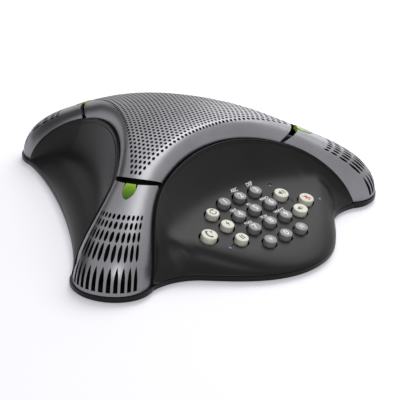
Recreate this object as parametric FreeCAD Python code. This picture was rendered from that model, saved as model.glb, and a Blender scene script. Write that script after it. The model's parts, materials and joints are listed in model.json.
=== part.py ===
import FreeCAD, Part
import math
import os
from FreeCAD import Vector

# Conference phone, in millimetres. Every piece is drawn about the point where the three arms meet,
# at table level, and moved at the end so that the origin lies under the middle of the whole phone.
# +Z is up, the keypad faces -Y, and the arms point to 90, 210 and 330 degrees.

# Overall sizes
ARM_REACH = 133.8
SEAM_REACH = 78.0
CROWN_HEIGHT = 64.0
CROWN_FALL = 18.2
LOBE_REACH = 118.9
SIDE_REACH = 68.2
FOOT_PROUD = 1.5
BASE_BAND = 4.0
PARTING_LINE = 0.4

# Silver shell
SHELL = 1.8
EDGE_ROLL = 10.0
EDGE_SKIRT = 1.2
ARCH_CENTRE = 170.0
ARCH_RADIUS = 135.0
SEAM_SAG = 10.5
SEAM_GAP = 2.2
ARCH_GAP = 2.0
TIP_LENGTH = 20.8
TIP_HALF_WIDTH = 22.4
NECK_HALF_WIDTH = 12.6
RIM_STEP = 2.0
RIDGE_SHOULDER = 26.5
TIP_BULGE = 21.0
SECTION_POWER = 2.1

# Perforation
GRILLE_ROWS = 21
GRILLE_HOLE = 1.3
GRILLE_HOLE_SIDES = 4
GRILLE_MARGIN = 11.5
GRILLE_END_MARGIN = 9.0
END_ROW_HOLES = 3
SLOT_COLUMNS = 11
SLOT_SHARE = 0.5
SLOT_ROWS = ((0.306, 0.036), (0.377, 0.049), (0.474, 0.078), (0.619, 0.138), (0.848, 0.240))
SLOT_SPREAD = 51.0

# Black housing
WALL = 2.5
DECK_DROP = 1.5
EDGE_DIVE = 3.0
LOBE_HALF_WIDTH = 56.0
LOBE_SHOULDER = 32.4
DECK_WALL = 2.2
BEAD_RISE = 1.0
KEYPAD_TILT = 16.2
KEYPAD_CENTRE = 71.6
KEYPAD_HEIGHT = 17.86
COVE_WIDTH = 24.0
SIDE_SHELF_HEIGHT = 10.0
SIDE_SHELF_SLOPE = 0.75
SIDE_COVE_WIDTH = 18.0
FRONT_RIM = 9.0
SIDE_RIM = 6.0
PANEL_UNDERLAP = 3.0
LATE_NARROWING = 0.6

# Keys
KEY_PITCH = 13.16
DIAL_KEY_RADIUS = 4.4
FUNCTION_KEY_RADIUS = 4.6
VOLUME_KEY_RADIUS = 5.0
PHONE_KEY_RADIUS = 5.6
KEY_PROUD = 3.0
KEY_CROWN = 0.2
KEY_EDGE = 0.6
KEY_TRAVEL = 1.2
KEY_CLEARANCE = 0.45
KEY_FLANGE = 0.9
FLANGE_THICKNESS = 1.2
SEAT_GAP = 0.3
INDICATOR_RADIUS = 1.1
INDICATOR_PROUD = 0.4
PIPE_CLEARANCE = 0.05

# Inside
MAT_SHEET = 1.0
MAT_PAD = 0.8
MAT_PAD_RADIUS = 3.0
BOARD = 1.6
KEYPAD_BOSS_RADIUS = 2.6
SPEAKER_RADIUS = 33.0
SPEAKER_OPENING = 29.5
SPEAKER_DEPTH = 26.0
SPEAKER_FLANGE_Z = 51.0
MAGNET_RADIUS = 20.0
MAGNET_HEIGHT = 9.0
RING_WALL = 2.5
RING_HEIGHT = 3.0
FRAME_SHEET = 1.2
FRAME_WINDOWS = 4
FLANGE_WIDTH = 5.0
COIL_RADIUS = 9.6
COIL_SKIN = 0.5
COIL_HOLE = 10.2
POLE_RADIUS = 8.5
CONE_TRAVEL = 0.8
CONE_SKIN = 0.8
CONE_RADIUS = 25.0
CONE_HEIGHT = 9.0
CAP_RADIUS = 12.0
CAP_FOOT = 1.4
CAP_RISE = 4.4
SURROUND_SKIN = 0.8
SURROUND_RISE = 2.0
CASE_SCREW_RADIUS = 1.4
CASE_SCREW_HEAD = 2.75
HEAD_HEIGHT = 1.6
BOSS_RADIUS = 3.6
SCREW_CLEARANCE = 0.05
PILOT_DEPTH = 6.0
LOBE_BOSS_HEIGHT = 5.5
HEAD_RECESS = 2.0
BASE_BOSS_HEIGHT = 3.5
BASE_BOSS_RADIUS = 5.0
TIP_RIM = 0.6
FOOT_REACH = 117.0
LOBE_FEET = ((-44.0, -84.0), (44.0, -84.0))
MAIN_BOARD = (-40.0, 40.0, -56.0, -8.0)
MAIN_BOARD_Z = 10.0
MAIN_BOARD_POSTS = ((-36.0, -52.0), (36.0, -52.0), (-36.0, -12.0), (36.0, -12.0))
POST_RADIUS = 2.5
CHIPS = ((-12.0, -30.0, 16.0, 16.0, 1.8), (14.0, -28.0, 12.0, 12.0, 1.6), (-28.0, -18.0, 8.0, 12.0, 6.0),
         (28.0, -44.0, 10.0, 7.0, 2.0), (10.0, -47.0, 18.0, 5.0, 4.0))
RECESS = (16.0, 48.0, 5.0, 23.0)
RECESS_TOP = 17.0
RECESS_WALL = 2.0
CABLE_SLOT = 7.0
SLOT_ROOF = 1.2
HOLE_PLAY = 0.3
JACK_WIDTH = 15.0
JACK_HEIGHT = 12.0
JACK_DEPTH = 15.0
SOCKET_WIDTH = 11.7
SOCKET_HEIGHT = 8.0
BASE_FLOOR = 2.0
BASE_WALL = 2.4
BASE_UNDERCUT = 1.2
FOOT_RADIUS = 6.0
FOOT_HEIGHT = 2.4
FOOT_CLEARANCE = 0.2
MIC_REACH = 99.0
PEDESTAL_RADIUS = 5.0
MIC_RADIUS = 3.0
MIC_HEIGHT = 2.8
MIC_SINK = 0.6
MIC_PORT = 0.8
BOOT_RADIUS = 4.6
BOOT_HEIGHT = 5.0
LENS_LENGTH = 12.6
LENS_SHOULDER = 0.42
LENS_NOSE = 0.62
LENS_TAIL = 6.0
LENS_HALF_WIDTH = 3.7
LENS_THICKNESS = 2.6
LENS_PROUD = 0.35
LENS_CLEARANCE = 0.1

# Steps of the free-form surfaces
LEG_STATIONS = 11
LEG_TURNS = 13
PANEL_STATIONS = 25
PANEL_END = 0.97
COVE_STEPS = 6
RIM_STEPS = 4
DECK_STATIONS = 9
ARCH_SPLIT = 0.45

# Derived levels
PARTING = FOOT_PROUD + BASE_BAND
BASE_BOTTOM = FOOT_PROUD
BASE_TOP = PARTING - PARTING_LINE
CROWN_RADIUS = (SEAM_REACH ** 2 + CROWN_FALL ** 2) / (2.0 * CROWN_FALL)
CROWN_CENTRE_Z = PARTING + CROWN_HEIGHT - CROWN_RADIUS
SKY = PARTING + CROWN_HEIGHT + 20.0
FRAME_SHIFT = -(ARM_REACH + TIP_RIM - LOBE_REACH) / 2.0
TIP_CENTRE = ARM_REACH - TIP_LENGTH
ARMS = {"back": 90.0, "left": 210.0, "right": 330.0}
VALLEYS = {"front": 270.0, "side_right": 30.0, "side_left": 150.0}
ORIGIN = Vector(0, 0, 0)
UP = Vector(0, 0, 1)
HALF_TURN = 60.0


def turned(shape, angle):
    """A copy of a shape turned about the star axis."""
    copy = shape.copy()
    copy.rotate(ORIGIN, UP, angle)
    return copy


def cylinder(radius, low, high, x=0.0, y=0.0):
    return Part.makeCylinder(radius, high - low, Vector(x, y, low))


def box(x0, x1, y0, y1, z0, z1):
    return Part.makeBox(x1 - x0, y1 - y0, z1 - z0, Vector(x0, y0, z0))


def ring(points):
    """Solid of revolution about the star axis from (radius, height) corners."""
    corners = [Vector(r, 0, z) for r, z in points]
    corners.append(corners[0])
    return Part.Face(Part.makePolygon(corners)).revolve(ORIGIN, UP, 360)


def fused(shapes):
    whole = shapes[0]
    for shape in shapes[1:]:
        whole = whole.fuse(shape)
    return whole


def bezier_point(controls, t):
    """Point of a cubic curve given by four control points."""
    a, b, c, d = controls
    s = 1.0 - t
    return a * s ** 3 + b * (3 * t * s * s) + c * (3 * t * t * s) + d * t ** 3


def crown_z(x, y):
    """Height of the spherical crown."""
    return CROWN_CENTRE_Z + math.sqrt(CROWN_RADIUS ** 2 - x * x - y * y)


def to_valley(point):
    """Arm-frame point seen from the valley next to the arm, w counted towards the arm."""
    c, s = math.cos(math.radians(HALF_TURN)), math.sin(math.radians(HALF_TURN))
    return Vector(point.x * c + point.y * s, point.x * s - point.y * c, point.z)


def arch_half_width(x, inset=0.0):
    """Half width of the grille arm at distance x, between two arch circles."""
    centre_x = ARCH_CENTRE * math.cos(math.radians(HALF_TURN))
    centre_y = ARCH_CENTRE * math.sin(math.radians(HALF_TURN))
    return centre_y - math.sqrt((ARCH_RADIUS + inset) ** 2 - (x - centre_x) ** 2)


SEAM_END_X = SEAM_REACH - SEAM_SAG
SEAM_END_Y = arch_half_width(SEAM_END_X)
SEAM_END_Z = crown_z(SEAM_END_X, SEAM_END_Y) - EDGE_ROLL
SEAM_TOP_Z = crown_z(SEAM_REACH, 0)
SEAM_SLOPE = SEAM_REACH / math.sqrt(CROWN_RADIUS ** 2 - SEAM_REACH ** 2)
SHOULDER_X = SEAM_REACH + RIDGE_SHOULDER

# Ridge and side edge of a leg cover, in the arm frame
RIDGE = (
    Vector(SEAM_REACH, 0, SEAM_TOP_Z),
    Vector(SHOULDER_X, 0, SEAM_TOP_Z - RIDGE_SHOULDER * SEAM_SLOPE),
    Vector(ARM_REACH, 0, PARTING + TIP_BULGE),
    Vector(ARM_REACH, 0, PARTING),
)
EDGE_FALL = SEAM_END_Z - PARTING
EDGE = (
    Vector(SEAM_END_X, SEAM_END_Y, SEAM_END_Z),
    Vector(SEAM_END_X + 0.54 * (TIP_CENTRE - SEAM_END_X), NECK_HALF_WIDTH, PARTING + 0.79 * EDGE_FALL),
    Vector(TIP_CENTRE - 5.5, TIP_HALF_WIDTH + 0.4, PARTING + 0.40 * EDGE_FALL),
    Vector(TIP_CENTRE, TIP_HALF_WIDTH, PARTING),
)


def leg_point(s, turn):
    """Leg cover surface: s runs from seam to tip, turn from -90 to 90 degrees across."""
    ridge, edge = bezier_point(RIDGE, s), bezier_point(EDGE, s)
    power = 2.0 / SECTION_POWER
    across = abs(math.sin(math.radians(turn))) ** power
    fall = 1.0 - abs(math.cos(math.radians(turn))) ** power
    side = math.copysign(1.0, turn)
    x = ridge.x + (edge.x - ridge.x) * fall
    y = side * edge.y * across
    z = ridge.z + (edge.z - ridge.z) * fall
    return Vector(x, y, z)


def leg_normal(s, turn):
    step_s, step_turn = 1e-3, 0.1
    s0, s1 = max(0.0, s - step_s), min(1.0, s + step_s)
    turn = max(-89.8, min(89.8, turn))
    along = leg_point(s1, turn) - leg_point(s0, turn)
    across = leg_point(s, turn + step_turn) - leg_point(s, turn - step_turn)
    normal = along.cross(across)
    normal.normalize()
    return normal


def smooth_edge(points):
    """Smooth curve through points, or a straight edge where there are only two."""
    if len(points) == 2:
        return Part.LineSegment(points[0], points[1]).toShape()
    curve = Part.BSplineCurve()
    curve.interpolate(list(points))
    return curve.toShape()


def strips(rows):
    """Narrow ruled faces between the smooth curves that run through the rows, column by column."""
    curves = [smooth_edge(column) for column in zip(*rows)]
    return [Part.makeRuledSurface(a, b) for a, b in zip(curves, curves[1:])]


def strip_solid(outer, inner):
    """Solid between two grids of points, both skinned with strips and closed along their four sides."""
    faces = strips(outer) + strips(inner)
    for side in (0, -1):
        first = smooth_edge([row[side] for row in outer])
        second = smooth_edge([row[side] for row in inner])
        faces.append(Part.makeRuledSurface(first, second))
        for j in range(len(outer[side]) - 1):
            first = smooth_edge(outer[side][j:j + 2])
            second = smooth_edge(inner[side][j:j + 2])
            faces.append(Part.makeRuledSurface(first, second))
    shell = Part.Shell(faces)
    shell.sewShape()
    solid = Part.Solid(shell)
    if solid.Volume < 0:
        solid.reverse()
    return solid


def column_below(rows):
    """Solid straight down from a grid of points."""
    lower = [[p - Vector(0, 0, SKY) for p in row] for row in rows]
    return strip_solid(rows, lower)


def star_face(inset, reach, z):
    """Plan of the silver crown at height z: three arches and three seam ends."""
    edges = []
    points = []
    for name, angle in ARMS.items():
        end_x = reach - SEAM_SAG
        end_y = arch_half_width(end_x, inset)
        ends = [Vector(end_x, -end_y, z), Vector(reach, 0, z), Vector(end_x, end_y, z)]
        points.append([turned_point(p, angle) for p in ends])
    for index, arm in enumerate(points):
        edges.append(Part.Arc(*arm).toShape())
        following = points[(index + 1) % len(points)]
        middle_angle = list(ARMS.values())[index] + HALF_TURN
        near = ARCH_CENTRE - ARCH_RADIUS - inset
        middle = turned_point(Vector(near, 0, z), middle_angle)
        edges.append(Part.Arc(arm[2], middle, following[0]).toShape())
    return Part.Face(Part.Wire(edges))


def turned_point(point, angle):
    a = math.radians(angle)
    x = point.x * math.cos(a) - point.y * math.sin(a)
    y = point.x * math.sin(a) + point.y * math.cos(a)
    return Vector(x, y, point.z)


def crown_block(inset, reach, drop, roll):
    """Solid under the crown, its top edges rolled over along the three arches."""
    low = PARTING
    prism = star_face(inset, reach, low).extrude(Vector(0, 0, SKY - low))
    ball = Part.makeSphere(CROWN_RADIUS - drop, Vector(0, 0, CROWN_CENTRE_Z))
    block = prism.common(ball)
    if roll <= 0:
        return block
    picked = []
    for edge in block.Edges:
        middle = edge.valueAt((edge.FirstParameter + edge.LastParameter) / 2.0)
        near = ARCH_CENTRE - ARCH_RADIUS - inset
        on_arch = abs(math.hypot(middle.x, middle.y) - near) < 0.5
        if on_arch and middle.z > PARTING + 1.0:
            picked.append(edge)
    return block.makeFillet(roll, picked)


def grille_points(rows, margin):
    """Triangular lattice bent so that its rows follow the three arches."""
    corner = SEAM_REACH - GRILLE_END_MARGIN
    angles = list(ARMS.values())
    corners = [turned_point(Vector(corner, 0, 0), a) for a in angles]
    near = ARCH_CENTRE - ARCH_RADIUS - margin
    pull = corner * 0.5 - near
    last = rows - 1
    found = []
    for i in range(rows):
        for j in range(rows - i):
            k = last - i - j
            weights = [i / last, j / last, k / last]
            if max(weights) > 1.0 - (END_ROW_HOLES - 1.5) / last:
                continue
            point = Vector(0, 0, 0)
            for weight, place in zip(weights, corners):
                point += place * weight
            for side in range(3):
                a, b = weights[side], weights[(side + 1) % 3]
                share = 4.0 * a * b
                inward = turned_point(Vector(-1, 0, 0), angles[side] + HALF_TURN)
                point += inward * (pull * share)
            found.append(point)
    return found


def hole_prism(x, y, radius, sides, z0, z1):
    points = []
    for i in range(sides + 1):
        a = 2.0 * math.pi * i / sides
        points.append(Vector(x + radius * math.cos(a), y + radius * math.sin(a), z0))
    return Part.Face(Part.makePolygon(points)).extrude(Vector(0, 0, z1 - z0))


def speaker_grille():
    reach = SEAM_REACH - SEAM_GAP / 2.0
    outer = crown_block(0.0, reach, 0.0, EDGE_ROLL)
    inner = crown_block(SHELL, reach + 3.0, SHELL, EDGE_ROLL - SHELL)
    depth = EDGE_ROLL + EDGE_SKIRT
    below = Part.makeSphere(CROWN_RADIUS - depth, Vector(0, 0, CROWN_CENTRE_Z))
    shell = outer.cut(inner).cut(below)
    low, high = PARTING + CROWN_HEIGHT - CROWN_FALL - EDGE_ROLL, SKY
    holes = []
    for p in grille_points(GRILLE_ROWS, GRILLE_MARGIN):
        holes.append(hole_prism(p.x, p.y, GRILLE_HOLE, GRILLE_HOLE_SIDES, low, high))
    return shell.cut(Part.makeCompound(holes))


def leg_grid(start, offset):
    """Grid of the leg cover surface from a start station to the tip, set inwards by an offset."""
    rows = []
    for i in range(LEG_STATIONS):
        s = start + (1.0 - start) * i / (LEG_STATIONS - 1)
        row = []
        for j in range(LEG_TURNS):
            turn = -90.0 + 180.0 * j / (LEG_TURNS - 1)
            point = leg_point(s, turn)
            row.append(point - leg_normal(s, turn) * offset)
        rows.append(row)
    return rows


def leg_slot(s, length, turn):
    """Cutter of one slot: a slim lozenge through the cover, as wide as its share of the column pitch."""
    first, second = leg_point(s - length / 2.0, turn), leg_point(s + length / 2.0, turn)
    half_pitch = SLOT_SPREAD / (SLOT_COLUMNS - 1)
    pitch = leg_point(s, turn + half_pitch).distanceToPoint(leg_point(s, turn - half_pitch))
    along = second - first
    half_length = along.Length / 2.0
    along.normalize()
    side = leg_normal(s, turn).cross(along)
    side.normalize()
    normal = along.cross(side)
    middle = (first + second) * 0.5
    if normal.dot(middle - Vector(TIP_CENTRE * 0.6, 0, PARTING)) < 0:
        normal = normal * -1
    base = middle - normal * (2.0 * SHELL)
    half_width = pitch * SLOT_SHARE / 2.0
    corners = [base + along * half_length, base + side * half_width,
               base - along * half_length, base - side * half_width]
    corners.append(corners[0])
    return Part.Face(Part.makePolygon(corners)).extrude(normal * (4.0 * SHELL))


def lens_plan(grow, reach):
    """Bullet outline of the status lens in plan, open end at the seam."""
    half = LENS_HALF_WIDTH + grow
    start = SEAM_REACH - LENS_TAIL
    tip = reach + grow
    shoulder = SEAM_REACH + LENS_LENGTH * LENS_SHOULDER
    a, b = Vector(start, -half, PARTING), Vector(shoulder, -half, PARTING)
    c, d = Vector(tip, 0, PARTING), Vector(shoulder, half, PARTING)
    e = Vector(start, half, PARTING)
    bend = (shoulder + 2 * tip) / 3
    nose = smooth_edge([b, Vector(bend, -half * LENS_NOSE, PARTING), c, Vector(bend, half * LENS_NOSE, PARTING), d])
    edges = [Part.LineSegment(a, b).toShape(), nose,
             Part.LineSegment(d, e).toShape(), Part.LineSegment(e, a).toShape()]
    return Part.Face(Part.Wire(edges)).extrude(Vector(0, 0, SKY))


def beyond_seam(body):
    """What is left of a leg piece outside the seam's curve."""
    reach = SEAM_REACH + SEAM_GAP / 2.0
    end_y = arch_half_width(reach - SEAM_SAG)
    radius = (SEAM_SAG ** 2 + end_y ** 2) / (2.0 * SEAM_SAG)
    return body.cut(cylinder(radius, 0.0, SKY, reach - radius, 0.0))


def leg_cover():
    body = beyond_seam(strip_solid(leg_grid(0.0, 0.0), leg_grid(0.0, SHELL)))
    slots = []
    for s, length in SLOT_ROWS:
        for column in range(SLOT_COLUMNS):
            turn = SLOT_SPREAD * (2.0 * column / (SLOT_COLUMNS - 1) - 1.0)
            slots.append(leg_slot(s, length, turn))
    body = body.cut(Part.makeCompound(slots))
    return body.cut(lens_plan(LENS_CLEARANCE, SEAM_REACH + LENS_LENGTH))


def status_lens():
    body = strip_solid(leg_grid(0.0, -LENS_PROUD), leg_grid(0.0, LENS_THICKNESS))
    return beyond_seam(body.common(lens_plan(0.0, SEAM_REACH + LENS_LENGTH)))


def arch_edge(t, gap):
    """Edge of the black housing beside the silver, valley frame, t from 0 at mid arch to 1 at the tip."""
    if t <= ARCH_SPLIT:
        seam_end = to_valley(EDGE[0])
        full = math.asin(seam_end.y / ARCH_RADIUS)
        a = full * t / ARCH_SPLIT
        radius = ARCH_RADIUS - gap
        silver_u = ARCH_CENTRE - ARCH_RADIUS * math.cos(a)
        silver_w = ARCH_RADIUS * math.sin(a)
        height = crown_z(silver_u, silver_w) - EDGE_ROLL + BEAD_RISE
        return Vector(ARCH_CENTRE - radius * math.cos(a), radius * math.sin(a), height)
    s = (t - ARCH_SPLIT) / (1.0 - ARCH_SPLIT)
    here = bezier_point(EDGE, s)
    ahead = bezier_point(EDGE, s + 0.01)
    direction = Vector(ahead.x - here.x, ahead.y - here.y, 0)
    direction.normalize()
    out = Vector(-direction.y, direction.x, 0)
    late = s ** 6
    moved = here + out * (gap * (1.0 - LATE_NARROWING * late))
    moved.z = here.z + BEAD_RISE - EDGE_DIVE * late
    return to_valley(moved)


CORNER = to_valley(Vector(TIP_CENTRE, TIP_HALF_WIDTH + RIM_STEP, 0))
LOBE_FLANK = Vector(LOBE_REACH - LOBE_SHOULDER, LOBE_HALF_WIDTH, 0)
LOBE_FRONT = (Vector(LOBE_REACH, 0, 0), Vector(LOBE_REACH, 0.46 * LOBE_HALF_WIDTH, 0),
              LOBE_FLANK + Vector(14.5, -14.0, 0), LOBE_FLANK)
LOBE_NECK = (LOBE_FLANK, LOBE_FLANK + Vector(-6.2, 6.0, 0),
             CORNER + Vector(-2.4, -13.0, 0), CORNER)
SIDE_LINE = (Vector(SIDE_REACH, 0, 0), Vector(SIDE_REACH, 45.0, 0),
             CORNER + Vector(-3.6, -11.0, 0), CORNER)


def outline_point(valley, t):
    if valley != "front":
        return bezier_point(SIDE_LINE, t)
    if t <= 0.5:
        return bezier_point(LOBE_FRONT, 2.0 * t)
    return bezier_point(LOBE_NECK, 2.0 * t - 1.0)


def shelf_z(valley, u):
    """Height of the flat part of a panel: the keypad plane in front, a steeper shelf at the sides."""
    if valley == "front":
        return PARTING + KEYPAD_HEIGHT + (KEYPAD_CENTRE - u) * math.tan(math.radians(KEYPAD_TILT))
    return PARTING + SIDE_SHELF_HEIGHT + (SIDE_REACH - 4.0 - u) * SIDE_SHELF_SLOPE


def soft_lower(a, b, width):
    """The lower of two values, with a smooth change over."""
    return 0.5 * (a + b - math.sqrt((a - b) ** 2 + width * width))


def panel_section(valley, t, sink, inset, deep):
    """Points of one panel section from the arch down to the parting line."""
    side = -1.0 if t < 0 else 1.0
    a = arch_edge(abs(t), ARCH_GAP - PANEL_UNDERLAP - 2.0 * inset)
    o = outline_point(valley, abs(t))
    out = Vector(o.x - a.x, o.y - a.y, 0)
    length = out.Length
    out.normalize()
    length = length - inset
    front = valley == "front"
    cove = min(COVE_WIDTH if front else SIDE_COVE_WIDTH, 0.55 * length)
    rim = min(FRONT_RIM if front else SIDE_RIM, 0.4 * length)
    flat = length - rim

    def height(d):
        level = soft_lower(shelf_z(valley, a.x + out.x * d), PARTING + 0.85 * (a.z - PARTING), 1.0)
        share = max(0.0, 1.0 - d / cove)
        return level - sink + (a.z - deep - level + sink) * share ** 3

    points = []
    for i in range(COVE_STEPS + 1):
        share = i / COVE_STEPS
        d = flat * (0.35 * share + 0.65 * share * share)
        points.append(Vector(a.x + out.x * d, a.y + out.y * d, height(d)))
    top = height(flat)
    foot = PARTING - 1.0
    for i in range(1, RIM_STEPS + 1):
        turn = math.radians(90.0 * i / RIM_STEPS)
        d = flat + rim * math.sin(turn)
        points.append(Vector(a.x + out.x * d, a.y + out.y * d, foot + (top - foot) * math.cos(turn)))
    return [Vector(p.x, side * p.y, p.z) for p in points]


def panel_column(valley, sink, inset, deep):
    """Solid below one panel's surface."""
    rows = []
    for i in range(PANEL_STATIONS):
        t = PANEL_END * (2.0 * i / (PANEL_STATIONS - 1) - 1.0)
        rows.append(panel_section(valley, t, sink, inset, deep))
    return turned(column_below(rows), VALLEYS[valley])


def trimmed_below(shape, level):
    reach = 2.0 * ARM_REACH
    return shape.cut(box(-reach, reach, -reach, reach, -2.0 * SKY, level))


def crown_prism(inset):
    return star_face(inset, SEAM_REACH + 2.0, 0).extrude(Vector(0, 0, SKY))


def crown_ball(drop):
    return Part.makeSphere(CROWN_RADIUS - drop, Vector(0, 0, CROWN_CENTRE_Z))


def leg_deck_rows(spread, drop):
    """Points of the flat deck between the two side edges of a leg cover."""
    rows = []
    for i in range(DECK_STATIONS):
        s = -0.1 + 1.13 * i / (DECK_STATIONS - 1)
        edge = bezier_point(EDGE, s)
        half = edge.y + spread * (1.0 - LATE_NARROWING * max(0.0, s) ** 6)
        rows.append([Vector(edge.x, share * half, edge.z - drop) for share in (-1.0, 0.0, 1.0)])
    return rows


def leg_void(spread, drop):
    """Space above the leg deck that the silver cover fills."""
    rows = leg_deck_rows(spread, drop)
    upper = [[p + Vector(0, 0, SKY) for p in row] for row in rows]
    return strip_solid(rows, upper)


def leg_deck_z(x):
    """Height of the leg deck's top at distance x along the arm."""
    low, high = -0.1, 1.0
    for _ in range(40):
        middle = (low + high) / 2.0
        if bezier_point(EDGE, middle).x < x:
            low = middle
        else:
            high = middle
    return bezier_point(EDGE, low).z - DECK_DROP


# Keypad frame: columns to the right, rows down the slope, heights along the panel's normal
TILT = math.radians(KEYPAD_TILT)
KEY_ORIGIN = Vector(0, -KEYPAD_CENTRE, PARTING + KEYPAD_HEIGHT)
KEY_RIGHT = Vector(1, 0, 0)
KEY_DOWN = Vector(0, -math.cos(TILT), -math.sin(TILT))
KEY_NORMAL = Vector(0, -math.sin(TILT), math.cos(TILT))


def key_place(column, row, height=0.0):
    return (KEY_ORIGIN + KEY_RIGHT * (column * KEY_PITCH) + KEY_DOWN * (row * KEY_PITCH)
            + KEY_NORMAL * height)


def on_keypad(column, row, radius, low, high):
    """Round bar standing on the keypad plane."""
    return Part.makeCylinder(radius, high - low, key_place(column, row, low), KEY_NORMAL)


KEYS = {
    "key_1": (-1, -1, DIAL_KEY_RADIUS),
    "key_2": (0, -1, DIAL_KEY_RADIUS),
    "key_3": (1, -1, DIAL_KEY_RADIUS),
    "key_4": (-1, 0, DIAL_KEY_RADIUS),
    "key_5": (0, 0, DIAL_KEY_RADIUS),
    "key_6": (1, 0, DIAL_KEY_RADIUS),
    "key_7": (-1, 1, DIAL_KEY_RADIUS),
    "key_8": (0, 1, DIAL_KEY_RADIUS),
    "key_9": (1, 1, DIAL_KEY_RADIUS),
    "key_star": (-1, 2, DIAL_KEY_RADIUS),
    "key_0": (0, 2, DIAL_KEY_RADIUS),
    "key_pound": (1, 2, DIAL_KEY_RADIUS),
    "key_redial": (-2.07, -0.64, FUNCTION_KEY_RADIUS),
    "key_flash": (-2.03, 0.29, FUNCTION_KEY_RADIUS),
    "key_hold": (-2.10, 1.30, FUNCTION_KEY_RADIUS),
    "key_phone": (-3.31, 0.47, PHONE_KEY_RADIUS),
    "key_volume_up": (1.99, -0.27, VOLUME_KEY_RADIUS),
    "key_volume_down": (1.98, 1.0, VOLUME_KEY_RADIUS),
    "key_mute": (2.85, 0.55, VOLUME_KEY_RADIUS),
}
INDICATORS = {
    "indicator_hold": (-2.89, 1.42),
    "indicator_volume": (2.15, -1.11),
    "indicator_mute": (3.63, 0.74),
}
FLANGE_TOP = -WALL - SEAT_GAP
FLANGE_BOTTOM = FLANGE_TOP - FLANGE_THICKNESS
PAD_TOP = FLANGE_BOTTOM - KEY_TRAVEL - SEAT_GAP
MAT_TOP = PAD_TOP - MAT_PAD
MAT_BOTTOM = MAT_TOP - MAT_SHEET
BOARD_BOTTOM = MAT_BOTTOM - BOARD
BOARD_EDGES = (-4.0, 4.0, -1.4, 2.4)
BOARD_CORNER_CUT = 1.3
KEYPAD_BOSSES = ((-3.0, -0.75), (2.95, -0.75), (-1.65, 2.05), (2.2, 1.9))
LOBE_BOSSES = ((-20.0, -106.5), (20.0, -106.5))


def key(column, row, radius):
    """One key: a round button with a softened edge above a retaining flange."""
    wide, flat = radius + KEY_FLANGE, radius - KEY_EDGE
    body = ring([(0, FLANGE_BOTTOM), (wide, FLANGE_BOTTOM), (wide, FLANGE_TOP), (radius, FLANGE_TOP),
                 (radius, KEY_PROUD - KEY_EDGE), (flat, KEY_PROUD), (0, KEY_PROUD + KEY_CROWN)])
    return placed_on_keypad(body, column, row)


def placed_on_keypad(body, column, row):
    copy = body.copy()
    copy.rotate(ORIGIN, Vector(1, 0, 0), KEYPAD_TILT)
    copy.translate(key_place(column, row))
    return copy


def keypad_plate(low, high, grow=0.0):
    """Sheet under the keys with its two lower corners cut off."""
    left, right, upper, lower = BOARD_EDGES
    cut = BOARD_CORNER_CUT
    corners = [(left, upper), (right, upper), (right, lower - cut), (right - cut, lower),
               (left + cut, lower), (left, lower - cut), (left, upper)]
    points = [key_place(c, r, low) for c, r in corners]
    return Part.Face(Part.makePolygon(points)).extrude(KEY_NORMAL * (high - low))


def keypad_mat():
    parts = [keypad_plate(MAT_BOTTOM, MAT_TOP)]
    for column, row, radius in KEYS.values():
        parts.append(on_keypad(column, row, MAT_PAD_RADIUS, MAT_TOP - 0.2, PAD_TOP))
    mat = fused(parts)
    for column, row in KEYPAD_BOSSES:
        mat = mat.cut(on_keypad(column, row, KEYPAD_BOSS_RADIUS + SEAT_GAP, MAT_BOTTOM - 1, PAD_TOP + 1))
    for column, row in INDICATORS.values():
        mat = mat.cut(on_keypad(column, row, INDICATOR_RADIUS + SEAT_GAP, MAT_BOTTOM - 1, PAD_TOP + 1))
    return mat


def indicator(column, row):
    """Light pipe: a thin bar with a collar, its domed end just above the panel."""
    bar = on_keypad(column, row, INDICATOR_RADIUS, MAT_BOTTOM + SEAT_GAP, 0.0)
    collar = on_keypad(column, row, INDICATOR_RADIUS + 0.8, FLANGE_TOP - 1.0, FLANGE_TOP)
    radius = (INDICATOR_RADIUS ** 2 + INDICATOR_PROUD ** 2) / (2 * INDICATOR_PROUD)
    ball = Part.makeSphere(radius, key_place(column, row, INDICATOR_PROUD - radius))
    cap = ball.common(on_keypad(column, row, INDICATOR_RADIUS, -0.5, INDICATOR_PROUD + 1.0))
    return fused([bar, collar, cap])


def upper_housing():
    """Black shell: a sunken deck under the silver pieces and three panels hung from the arches."""
    blocks = [crown_prism(0.0)]
    leg_block = column_below(leg_deck_rows(ARCH_GAP - 1.0, -2.0))
    for angle in ARMS.values():
        blocks.append(turned(leg_block, angle))
    for name in VALLEYS:
        blocks.append(panel_column(name, 0.0, 0.0, 0.0))
    blocks = [trimmed_below(block, PARTING) for block in blocks]
    body = blocks[0].multiFuse(blocks[1:])
    deck_drop = EDGE_ROLL + DECK_DROP
    body = body.cut(crown_prism(-ARCH_GAP).cut(crown_ball(deck_drop)))
    above_leg = leg_void(ARCH_GAP, DECK_DROP)
    for angle in ARMS.values():
        body = body.cut(turned(above_leg, angle))
    hollow = [crown_prism(1.0).common(crown_ball(deck_drop + DECK_WALL))]
    for name in VALLEYS:
        hollow.append(panel_column(name, WALL, WALL, BEAD_RISE + DECK_DROP + DECK_WALL + 0.9))
    under = column_below(leg_deck_rows(-1.0, DECK_DROP + DECK_WALL))
    for angle in ARMS.values():
        hollow.append(turned(under, angle))
    for block in hollow:
        body = body.cut(block)
    return housing_details(body)


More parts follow.
